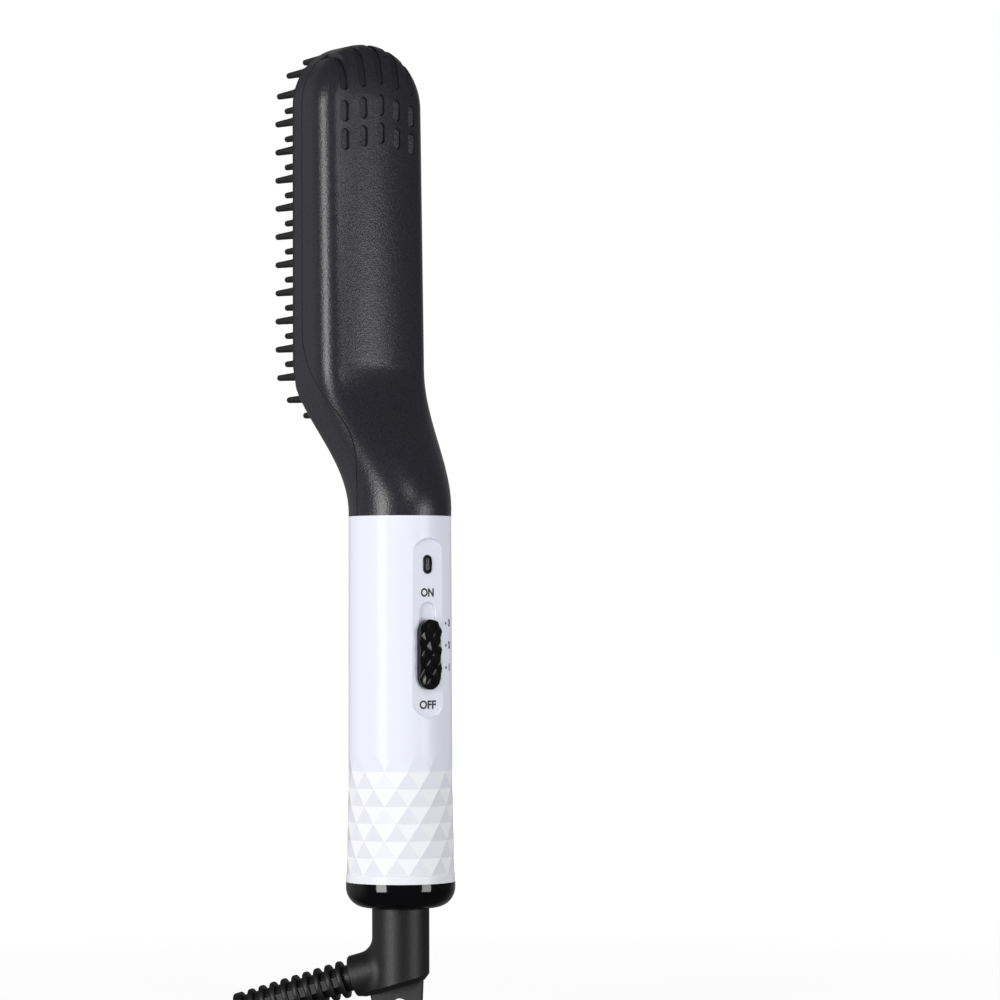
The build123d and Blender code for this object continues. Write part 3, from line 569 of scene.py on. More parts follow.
class StageSizes(bpy.types.PropertyGroup):
    focal: FloatProperty(
        name="Focal length",
        description="The camera's lens in millimetres",
        default=139.92,
        unit="CAMERA",
    )
    turn: FloatProperty(
        name="Turn",
        description="The line of sight's turn from the handle's control side",
        default=radians(35.529),
        unit="ROTATION",
    )
    pitch: FloatProperty(
        name="Pitch",
        description="The line of sight's rise",
        default=radians(1.62),
        unit="ROTATION",
    )
    roll: FloatProperty(
        name="Roll",
        description="The camera's roll about its line of sight",
        default=radians(-0.152),
        unit="ROTATION",
    )
    viewpoint: FloatVectorProperty(
        name="Viewpoint",
        description="Where the camera stands",
        default=(639.5 * MM, 946.2 * MM, 116.2 * MM),
        subtype="XYZ",
        unit="LENGTH",
    )
    light_distance: FloatProperty(
        name="Light distance",
        description="From the handle's axis to each softbox",
        default=1.3,
        unit="LENGTH",
    )
    left_turn: FloatProperty(
        name="Left softbox's turn",
        description="From the camera's side round to the left softbox",
        default=radians(-39.5),
        unit="ROTATION",
    )
    left_level: FloatProperty(
        name="Left softbox's level",
        description="Height of its middle over the hanging hole",
        default=0.14,
        unit="LENGTH",
    )
    left_width: FloatProperty(
        name="Left softbox's width",
        description="Width of the softbox on the camera's left",
        default=0.5,
        unit="LENGTH",
    )
    left_height: FloatProperty(
        name="Left softbox's height",
        description="Height of the softbox on the camera's left",
        default=0.9,
        unit="LENGTH",
    )
    right_turn: FloatProperty(
        name="Right softbox's turn",
        description="From the camera's side round to the right softbox",
        default=radians(57.5),
        unit="ROTATION",
    )
    right_level: FloatProperty(
        name="Right softbox's level",
        description="Height of its middle over the hanging hole",
        default=0.0,
        unit="LENGTH",
    )
    right_width: FloatProperty(
        name="Right softbox's width",
        description="Width of the softbox on the camera's right",
        default=0.46,
        unit="LENGTH",
    )
    right_height: FloatProperty(
        name="Right softbox's height",
        description="Height of the softbox on the camera's right",
        default=0.6,
        unit="LENGTH",
    )
    left_power: FloatProperty(
        name="Left power",
        description="Power of the softbox on the camera's left",
        default=13.2,
        unit="POWER",
    )
    right_power: FloatProperty(
        name="Right power",
        description="Power of the softbox on the camera's right",
        default=5.6,
        unit="POWER",
    )
    glint_turn: FloatProperty(
        name="Glint's turn",
        description="From the camera's side round to the small lamp",
        default=radians(27),
        unit="ROTATION",
    )
    glint_rise: FloatProperty(
        name="Glint's rise",
        description="Rise of the small lamp over the level it looks at",
        default=radians(36),
        unit="ROTATION",
    )
    glint_distance: FloatProperty(
        name="Glint's distance",
        description="From the handle's axis to the small lamp",
        default=0.35,
        unit="LENGTH",
    )
    glint_drop: FloatProperty(
        name="Glint's drop",
        description="From the knob's lower end down to the level the small lamp looks at",
        default=4 * MM,
        unit="LENGTH",
    )
    glint_width: FloatProperty(
        name="Glint's width",
        description="Width of the small lamp",
        default=0.06,
        unit="LENGTH",
    )
    glint_height: FloatProperty(
        name="Glint's height",
        description="Height of the small lamp",
        default=0.09,
        unit="LENGTH",
    )
    glint_power: FloatProperty(
        name="Glint power",
        description="Power of the small lamp that the knob's facets catch",
        default=0.1,
        unit="POWER",
    )
    fill: FloatProperty(
        name="Fill",
        description="Level of the room's soft light on the camera's side, where 1 is white",
        default=0.36,
        subtype="FACTOR",
    )


class FinishColours(bpy.types.PropertyGroup):
    handle: StringProperty(
        name="Handle",
        description="Colour of the smooth sleeve, as sRGB hex",
        default="E9EBF8",
    )
    # The two facet colours are painted light and shade, chosen by which way each facet looks.
    facets_painted_lit: StringProperty(
        name="Upper facets",
        description="Colour of the facets that look up, as sRGB hex",
        default="F3F4F9",
    )
    facets_painted_shade: StringProperty(
        name="Lower facets",
        description="Colour of the facets that look down, as sRGB hex",
        default="E4E5EE",
    )
    head: StringProperty(
        name="Head",
        description="Colour of the two shells, as sRGB hex",
        default="28272E",
    )
    cord_end: StringProperty(
        name="Cord end",
        description="Colour of the elbow, as sRGB hex",
        default="151518",
    )


# Node and mesh helpers


def linear(hex_colour):
    """An sRGB hex colour as linear red, green, blue and alpha."""
    shares = [int(hex_colour[i : i + 2], 16) / 255 for i in (0, 2, 4)]
    return tuple(s / 12.92 if s <= 0.04045 else ((s + 0.055) / 1.055) ** 2.4 for s in shares) + (1.0,)


def add_node(tree, kind, settings=None, inputs=None):
    """Adds a node with its settings; an input is a plain value or the output socket that it is linked to."""
    node = tree.nodes.new(kind)
    for name, value in (settings or {}).items():
        setattr(node, name, value)
    for name, value in (inputs or {}).items():
        if isinstance(value, bpy.types.NodeSocket):
            tree.links.new(value, node.inputs[name])
        else:
            node.inputs[name].default_value = value
    return node


def new_material(name):
    """A material with an empty node tree, its output node, and where a point of the object lies."""
    material = bpy.data.materials.new(name)
    material.use_nodes = True
    tree = material.node_tree
    tree.nodes.clear()
    output = add_node(tree, "ShaderNodeOutputMaterial")
    place = add_node(tree, "ShaderNodeTexCoord").outputs["Object"]
    return material, tree, output, place


def growth_tree(name, sizes):
    """A geometry tree that takes seed points, a material and these named sizes."""
    tree = bpy.data.node_groups.new(name, "GeometryNodeTree")
    tree.interface.new_socket("Geometry", in_out="INPUT", socket_type="NodeSocketGeometry")
    tree.interface.new_socket("Material", in_out="INPUT", socket_type="NodeSocketMaterial")
    for label in sizes:
        kind = "NodeSocketInt" if label == "Count" else "NodeSocketFloat"
        tree.interface.new_socket(label, in_out="INPUT", socket_type=kind)
    tree.interface.new_socket("Geometry", in_out="OUTPUT", socket_type="NodeSocketGeometry")
    given = add_node(tree, "NodeGroupInput").outputs
    return tree, given


def close_tree(tree, given, points, shape, rotation=None, scale=None):
    """Sets the shape on every point, as one real mesh of the given material."""
    smooth = add_node(tree, "GeometryNodeSetShadeSmooth", inputs={"Geometry": shape})
    spread = {"Points": points, "Instance": smooth.outputs["Geometry"]}
    if rotation is not None:
        spread["Rotation"] = rotation
    if scale is not None:
        spread["Scale"] = scale
    copies = add_node(tree, "GeometryNodeInstanceOnPoints", inputs=spread)
    real = add_node(tree, "GeometryNodeRealizeInstances", inputs={"Geometry": copies.outputs["Instances"]})
    coated = add_node(
        tree,
        "GeometryNodeSetMaterial",
        inputs={"Geometry": real.outputs["Geometry"], "Material": given["Material"]},
    )
    add_node(tree, "NodeGroupOutput", inputs={"Geometry": coated.outputs["Geometry"]})


def eased_spine(tree, given, height, rings, quarter):
    """Points along -Y from under the surface to the tip, closer together towards it.

    The quarter runs from 0 to a quarter turn over the rings. Gives how far along each point lies,
    the whole length, and the line."""
    line = add_node(tree, "GeometryNodeCurvePrimitiveLine", inputs={"End": (0, -1, 0)})
    points = add_node(
        tree, "GeometryNodeResampleCurve", {"mode": "COUNT"}, {"Curve": line.outputs["Curve"], "Count": rings}
    )
    eased = add_node(tree, "ShaderNodeMath", {"operation": "SINE"}, {0: quarter})
    whole = add_node(tree, "ShaderNodeMath", {"operation": "ADD"}, {0: height, 1: given["Sink"]})
    along = add_node(
        tree,
        "ShaderNodeMath",
        {"operation": "MULTIPLY"},
        {0: eased.outputs["Value"], 1: whole.outputs["Value"]},
    )
    depth = add_node(
        tree, "ShaderNodeMath", {"operation": "SUBTRACT"}, {0: given["Sink"], 1: along.outputs["Value"]}
    )
    spot = add_node(tree, "ShaderNodeCombineXYZ", inputs={"Y": depth.outputs["Value"]})
    spine = add_node(
        tree,
        "GeometryNodeSetPosition",
        inputs={"Geometry": points.outputs["Curve"], "Position": spot.outputs["Vector"]},
    )
    return along.outputs["Value"], whole.outputs["Value"], spine.outputs["Geometry"]


def tip_dome(tree, along, whole, rounding):
    """A share that is 1 up to the rounding of the tip, and falls to 0 on a quarter circle."""
    shoulder = add_node(tree, "ShaderNodeMath", {"operation": "SUBTRACT"}, {0: whole, 1: rounding})
    past = add_node(
        tree,
        "ShaderNodeMapRange",
        inputs={"Value": along, "From Min": shoulder.outputs["Value"], "From Max": whole},
    )
    square = add_node(
        tree,
        "ShaderNodeMath",
        {"operation": "MULTIPLY"},
        {0: past.outputs["Result"], 1: past.outputs["Result"]},
    )
    rest = add_node(tree, "ShaderNodeMath", {"operation": "SUBTRACT"}, {0: 1.0, 1: square.outputs["Value"]})
    dome = add_node(tree, "ShaderNodeMath", {"operation": "SQRT"}, {0: rest.outputs["Value"]})
    return dome.outputs["Value"]


def grow(tree, points, edges, values):
    """The plain mesh that the tree grows from these seed points."""
    seed_mesh = bpy.data.meshes.new("seed")
    seed_mesh.from_pydata([tuple(point) for point in points], edges, [])
    seed = bpy.data.objects.new("seed", seed_mesh)
    bpy.context.scene.collection.objects.link(seed)
    modifier = seed.modifiers.new("grow", "NODES")
    modifier.node_group = tree
    for item in tree.interface.items_tree:
        if item.in_out == "INPUT" and item.name in values:
            modifier[item.identifier] = values[item.name]
    seen = seed.evaluated_get(bpy.context.evaluated_depsgraph_get())
    mesh = bpy.data.meshes.new_from_object(seen)
    seed.modifiers.remove(modifier)
    bpy.data.objects.remove(seed)
    bpy.data.meshes.remove(seed_mesh)
    return mesh


def obround_loop(radius, y, ends=(ARC_HIGH, ARC_LOW), steps=28):
    """Points round an upright oval with this end radius, by default about the comb's ends."""
    loop = []
    for centre, first in ((ends[0], 0.0), (ends[1], pi)):
        for i in range(steps + 1):
            angle = first + pi * i / steps
            loop.append(Vector((radius * cos(angle), y, centre + radius * sin(angle))))
    return loop


def ring_loop(place, radius, along, steps=48):
    """Points of a circle about the local Z axis."""
    return [
        place @ Vector((radius * cos(2 * pi * i / steps), radius * sin(2 * pi * i / steps), along))
        for i in range(steps)
    ]


def skin(bm, loops, closed):
    """Faces between the loops: a closed section runs round to its start, an open one is capped."""
    rows = [[bm.verts.new(point) for point in loop] for loop in loops]
    pairs = list(zip(rows, rows[1:]))
    if closed:
        pairs.append((rows[-1], rows[0]))
    faces = []
    for a, b in pairs:
        for i in range(len(a)):
            j = (i + 1) % len(a)
            faces.append(bm.faces.new((a[i], a[j], b[j], b[i])))
    if not closed:
        faces += [bm.faces.new(rows[0]), bm.faces.new(rows[-1])]
    bmesh.ops.recalc_face_normals(bm, faces=faces)


def rounded_edge(centre, radius, first, last, steps=5):
    """Section points of a rounding about its centre, as pairs of end radius and depth."""
    angles = [first + (last - first) * i / steps for i in range(steps + 1)]
    return [(centre[0] + radius * cos(angle), centre[1] + radius * sin(angle)) for angle in angles]


def add_piece(name, parts, material, body, replaced=()):
    """One object made of these meshes, in its material, riding on its body in place of solids."""
    bm = bmesh.new()
    for part in parts:
        bm.from_mesh(part)
        bpy.data.meshes.remove(part)
    mesh = to_mesh(bm, name)
    mesh.materials.append(material)
    mesh.shade_smooth()
    mesh.set_sharp_from_angle(angle=CREASE)
    piece = bpy.data.objects.new(name, mesh)
    bpy.context.scene.collection.objects.link(piece)
    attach(piece, body)
    if replaced:
        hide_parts(*replaced)


def to_mesh(bm, name):
    """The bmesh as a mesh of that name."""
    mesh = bpy.data.meshes.new(name)
    bm.to_mesh(mesh)
    bm.free()
    return mesh


# Materials


def moulded(name, colour, roughness, grain, relief, spread=0.04, coat=0.0, sheen=0.0, fleck=0.0, painted_shade=None):
    """Moulded plastic or rubber: a base colour with a slight cloudiness, and the tool's grain of that size.

    The fleck is how far the grain's tops are painted lighter and its hollows darker: painted light and
    shade on the grain. The painted shade is a function that adds nodes and returns a share that is low
    where shade is painted into the colour, in the parting line and in corners."""
    material, tree, output, place = new_material(name)
    grit = add_node(
        tree,
        "ShaderNodeTexNoise",
        inputs={"Vector": place, "Scale": 1 / grain, "Detail": 2.5, "Roughness": 0.55},
    )
    cloud = add_node(
        tree,
        "ShaderNodeTexNoise",
        inputs={"Vector": place, "Scale": 1 / (9 * MM), "Detail": 2.0},
    )
    shade = add_node(
        tree,
        "ShaderNodeMapRange",
        inputs={"Value": cloud.outputs["Fac"], "To Min": 1 - spread, "To Max": 1 + spread},
    )
    # The grain's tops are painted lighter and its hollows darker: painted light and shade on the grain.
    spot = add_node(
        tree,
        "ShaderNodeMapRange",
        inputs={
            "Value": grit.outputs["Fac"],
            "From Min": 0.3,
            "From Max": 0.7,
            "To Min": 1 - fleck,
            "To Max": 1 + fleck,
        },
    )
    both = add_node(
        tree,
        "ShaderNodeMath",
        {"operation": "MULTIPLY"},
        {0: shade.outputs["Result"], 1: spot.outputs["Result"]},
    )
    tone = both.outputs["Value"]
    gloss = add_node(
        tree,
        "ShaderNodeMapRange",
        inputs={"Value": grit.outputs["Fac"], "To Min": roughness * 0.9, "To Max": roughness * 1.1},
    )
    # Where the share is low, shade is painted into the colour and the surface is made rough.
    if painted_shade:
        clear = painted_shade(tree, place)
        tone = add_node(
            tree,
            "ShaderNodeMath",
            {"operation": "MULTIPLY"},
            {0: tone, 1: clear},
        ).outputs["Value"]
        gloss = add_node(
            tree,
            "ShaderNodeMapRange",
            inputs={"Value": clear, "To Min": 1.0, "To Max": gloss.outputs["Result"]},
        )
    tint = add_node(
        tree, "ShaderNodeVectorMath", {"operation": "SCALE"}, {0: linear(colour)[:3], "Scale": tone}
    )
    bump = add_node(
        tree,
        "ShaderNodeBump",
        inputs={"Strength": relief, "Distance": 0.1 * MM, "Height": grit.outputs["Fac"]},
    )
    shader = add_node(
        tree,
        "ShaderNodeBsdfPrincipled",
        inputs={
            "Base Color": tint.outputs["Vector"],
            "Roughness": gloss.outputs["Result"],
            "Coat Weight": coat,
            "Coat Roughness": 0.06,
            "Sheen Weight": sheen,
            "Normal": bump.outputs["Normal"],
        },
    )
    tree.links.new(shader.outputs["BSDF"], output.inputs["Surface"])
    return material


def shell_painted_shade(sizes):
    """Painted shade in the head's parting line, which runs back from the comb to the handle, and in its
    slots.
    """

    def painted_shade(tree, place):
        """Nodes for a share that is 1 in the open and low where shade is painted, in the parting line and in
        corners.
        """
        spot = add_node(tree, "ShaderNodeSeparateXYZ", inputs={"Vector": place})
        rise = add_node(
            tree,
            "ShaderNodeMapRange",
            inputs={
                "Value": spot.outputs["Z"],
                "From Min": SLEEVE_HIGH.z + sizes.parting_start,
                "From Max": SLEEVE_HIGH.z + sizes.parting_end,
            },
        )
        bend = add_node(tree, "ShaderNodeFloatCurve", inputs={"Value": rise.outputs["Result"]})
        steps = 10
        for i in range(1, steps):
            t = i / steps
            first, second, last = 3 * t * (1 - t) ** 2, 3 * t * t * (1 - t), t**3
            height = first * sizes.parting_pull + second * (1 - sizes.parting_pull) + last
            bend.mapping.curves[0].points.new(height, second + last)
        bend.mapping.update()
        offset = add_node(
            tree,
            "ShaderNodeMath",
            {"operation": "MULTIPLY_ADD"},
            {0: bend.outputs["Value"], 1: sizes.parting_depth, 2: spot.outputs["Y"]},
        )
        gap = add_node(tree, "ShaderNodeMath", {"operation": "ABSOLUTE"}, {0: offset.outputs["Value"]})
        # Painted shade along the parting line, standing in for the shadow in its gap.
        line = add_node(
            tree,
            "ShaderNodeMapRange",
            inputs={
                "Value": gap.outputs["Value"],
                "From Min": sizes.parting_dark,
                "From Max": sizes.parting_fade,
                "To Min": 0.1,
            },
        )
        # Painted shade in the corners of the vents and grooves, where their walls close in.
        open_sky = add_node(
            tree,
            "ShaderNodeAmbientOcclusion",
            {"samples": 8, "only_local": True},
            {"Distance": sizes.corner_reach},
        )
        corner = add_node(
            tree,
            "ShaderNodeMapRange",
            inputs={"Value": open_sky.outputs["AO"], "From Min": 0.55, "From Max": 0.85, "To Min": 0.1},
        )
        return add_node(
            tree,
            "ShaderNodeMath",
            {"operation": "MULTIPLY"},
            {0: line.outputs["Result"], 1: corner.outputs["Result"]},
        ).outputs["Value"]

    return painted_shade


def faceted_white(name, colour, dim, pale, facets_high):
    """Polished white ABS, with painted light and shade over the cut facets: paler there, those that look
    up palest as painted light and those that look down dimmer as painted shade.
    """
    material, tree, output, place = new_material(name)
    height = add_node(tree, "ShaderNodeSeparateXYZ", inputs={"Vector": place})
    under = add_node(
        tree,
        "ShaderNodeMath",
        {"operation": "LESS_THAN"},
        {0: height.outputs["Z"], 1: facets_high},
    )
    facing = add_node(
        tree,
        "ShaderNodeSeparateXYZ",
        inputs={"Vector": add_node(tree, "ShaderNodeTexCoord").outputs["Normal"]},
    )
    # Painted light and shade: facets that look up take the paler colour, those that look down the dimmer one.
    painted_light_share = add_node(
        tree,
        "ShaderNodeMapRange",
        inputs={"Value": facing.outputs["Z"], "From Min": -0.08, "From Max": 0.08},
    )
    cut = add_node(
        tree,
        "ShaderNodeMix",
        {"data_type": "RGBA"},
        {0: painted_light_share.outputs["Result"], 6: linear(dim), 7: linear(pale)},
    )
    tint = add_node(
        tree,
        "ShaderNodeMix",
        {"data_type": "RGBA"},
        {0: under.outputs["Value"], 6: linear(colour), 7: cut.outputs[2]},
    )
    shader = add_node(
        tree,
        "ShaderNodeBsdfPrincipled",
        inputs={"Base Color": tint.outputs[2], "Roughness": 0.17, "Specular IOR Level": 0.12},
    )
    tree.links.new(shader.outputs["BSDF"], output.inputs["Surface"])
    return material


def worked_metal(name, colour, dull, roughness, line, stretch, relief):
    """Bare metal: lines of that spacing drawn out along the stretch, and a duller bloom in patches."""
    material, tree, output, place = new_material(name)
    drawn = add_node(tree, "ShaderNodeMapping", inputs={"Vector": place, "Scale": stretch})
    lines = add_node(
        tree,
        "ShaderNodeTexNoise",
        inputs={"Vector": drawn.outputs["Vector"], "Scale": 1 / line, "Detail": 3.0},
    )
    bloom = add_node(
        tree,
        "ShaderNodeTexNoise",
        inputs={"Vector": place, "Scale": 1 / (2.5 * MM), "Detail": 3.0},
    )
    share = add_node(
        tree,
        "ShaderNodeMapRange",
        inputs={"Value": bloom.outputs["Fac"], "From Min": 0.4, "From Max": 0.75},
    )
    tint = add_node(
        tree,
        "ShaderNodeMix",
        {"data_type": "RGBA"},
        {0: share.outputs["Result"], 6: linear(colour), 7: linear(dull)},
    )
    gloss = add_node(
        tree,
        "ShaderNodeMapRange",
        inputs={"Value": lines.outputs["Fac"], "To Min": roughness * 0.75, "To Max": roughness * 1.3},
    )
    bump = add_node(
        tree,
        "ShaderNodeBump",
        inputs={"Strength": relief, "Distance": 0.03 * MM, "Height": lines.outputs["Fac"]},
    )
    shader = add_node(
        tree,
        "ShaderNodeBsdfPrincipled",
        inputs={
            "Base Color": tint.outputs[2],
            "Metallic": 1.0,
            "Roughness": gloss.outputs["Result"],
            "Normal": bump.outputs["Normal"],
        },
    )
    tree.links.new(shader.outputs["BSDF"], output.inputs["Surface"])
    return material


def speckled(name, colour, fleck, roughness, cell, share, relief, metallic=0.0):
    """A fired or flaked surface: a ground colour with flecks of that size and share, slightly proud."""
    material, tree, output, place = new_material(name)
    cells = add_node(
        tree, "ShaderNodeTexVoronoi", inputs={"Vector": place, "Scale": 1 / cell, "Randomness": 1.0}
    )
    parted = add_node(tree, "ShaderNodeSeparateColor", inputs={"Color": cells.outputs["Color"]})
    chosen = add_node(
        tree,
        "ShaderNodeMapRange",
        inputs={"Value": parted.outputs["Red"], "From Min": 1 - share, "From Max": 1 - share * 0.5},
    )
    cloud = add_node(
        tree,
        "ShaderNodeTexNoise",
        inputs={"Vector": place, "Scale": 1 / (4 * MM), "Detail": 3.0},
    )
    mottled = add_node(
        tree,
        "ShaderNodeMath",
        {"operation": "MULTIPLY"},
        {0: chosen.outputs["Result"], 1: cloud.outputs["Fac"]},
    )
    tint = add_node(
        tree,
        "ShaderNodeMix",
        {"data_type": "RGBA"},
        {0: mottled.outputs["Value"], 6: linear(colour), 7: linear(fleck)},
    )
    gloss = add_node(
        tree,
        "ShaderNodeMapRange",
        inputs={"Value": cells.outputs["Distance"], "To Min": roughness * 0.85, "To Max": roughness * 1.15},
    )
    bump = add_node(
        tree,
        "ShaderNodeBump",
        inputs={"Strength": relief, "Distance": 0.05 * MM, "Height": cells.outputs["Distance"]},
    )
    shader = add_node(
        tree,
        "ShaderNodeBsdfPrincipled",
        inputs={
            "Base Color": tint.outputs[2],
            "Metallic": metallic,
            "Roughness": gloss.outputs["Result"],
            "Normal": bump.outputs["Normal"],
        },
    )
    tree.links.new(shader.outputs["BSDF"], output.inputs["Surface"])
    return material


def clear_body(name, colour, roughness, through, bubble):
    """A glassy or clear plastic body: tinted light passes it, broken by faint flow marks of that size."""
    material, tree, output, place = new_material(name)
    flow = add_node(tree, "ShaderNodeTexNoise", inputs={"Vector": place, "Scale": 1 / bubble, "Detail": 2.0})
    shade = add_node(
        tree, "ShaderNodeMapRange", inputs={"Value": flow.outputs["Fac"], "To Min": 0.88, "To Max": 1.1}
    )
    tint = add_node(
        tree,
        "ShaderNodeVectorMath",
        {"operation": "SCALE"},
        {0: linear(colour)[:3], "Scale": shade.outputs["Result"]},
    )
    bump = add_node(
        tree,
        "ShaderNodeBump",
        inputs={"Strength": 0.05, "Distance": 0.05 * MM, "Height": flow.outputs["Fac"]},
    )
    shader = add_node(
        tree,
        "ShaderNodeBsdfPrincipled",
        inputs={
            "Base Color": tint.outputs["Vector"],
            "Roughness": roughness,
            "Transmission Weight": through,
            "IOR": 1.58,
            "Normal": bump.outputs["Normal"],
        },
    )
    tree.links.new(shader.outputs["BSDF"], output.inputs["Surface"])
    return material


def woven(name, colour, dark, strand):
    """A braided sleeve: strands of that width cross each other and darken between them."""
    material, tree, output, place = new_material(name)
    crossings = []
    for turn in (radians(45), radians(-45)):
        turned = add_node(tree, "ShaderNodeMapping", inputs={"Vector": place, "Rotation": (turn, turn, turn)})
        crossings.append(
            add_node(
                tree,
                "ShaderNodeTexWave",
                {"bands_direction": "Z"},
                {"Vector": turned.outputs["Vector"], "Scale": 1 / (strand * 6.3), "Distortion": 0.6},
            )
        )
    height = add_node(
        tree,
        "ShaderNodeMath",
        {"operation": "MAXIMUM"},
        {0: crossings[0].outputs["Fac"], 1: crossings[1].outputs["Fac"]},
    )
    tint = add_node(
        tree,
        "ShaderNodeMix",
        {"data_type": "RGBA"},
        {0: height.outputs["Value"], 6: linear(dark), 7: linear(colour)},
    )
    bump = add_node(
        tree,
        "ShaderNodeBump",
        inputs={"Strength": 0.6, "Distance": 0.1 * MM, "Height": height.outputs["Value"]},
    )
    shader = add_node(
        tree,
        "ShaderNodeBsdfPrincipled",
        inputs={
            "Base Color": tint.outputs[2],
            "Roughness": 0.75,
            "Sheen Weight": 0.15,
            "Normal": bump.outputs["Normal"],
        },
    )
    tree.links.new(shader.outputs["BSDF"], output.inputs["Surface"])
    return material


def circuit_board(name, mask, track, pitch):
    """Solder mask over copper: tracks of that pitch show through as paler lines under a gloss film."""
    material, tree, output, place = new_material(name)
    flat = add_node(tree, "ShaderNodeMapping", inputs={"Vector": place, "Rotation": (radians(90), 0, 0)})
    tracks = add_node(
        tree,
        "ShaderNodeTexBrick",
        {"offset": 0.37, "squash": 0.7},
        {
            "Vector": flat.outputs["Vector"],
            "Color1": linear(mask),
            "Color2": linear(mask),
            "Mortar": linear(track),
            "Scale": 1 / pitch,
            "Mortar Size": 0.07,
            "Mortar Smooth": 0.3,
            "Brick Width": 2.6,
            "Row Height": 0.8,
        },
    )
    bump = add_node(
        tree,
        "ShaderNodeBump",
        inputs={"Strength": 0.4, "Distance": 0.05 * MM, "Height": tracks.outputs["Fac"]},
    )
    shader = add_node(
        tree,
        "ShaderNodeBsdfPrincipled",
        inputs={
            "Base Color": tracks.outputs["Color"],
            "Roughness": 0.32,
            "Coat Weight": 0.4,
            "Normal": bump.outputs["Normal"],
        },
    )
    tree.links.new(shader.outputs["BSDF"], output.inputs["Surface"])
    return material


def dress(node, material):
    """Gives a solid's surface that material."""
    mesh = NODES[node].data
    mesh.materials.clear()
    mesh.materials.append(material)


# Operators


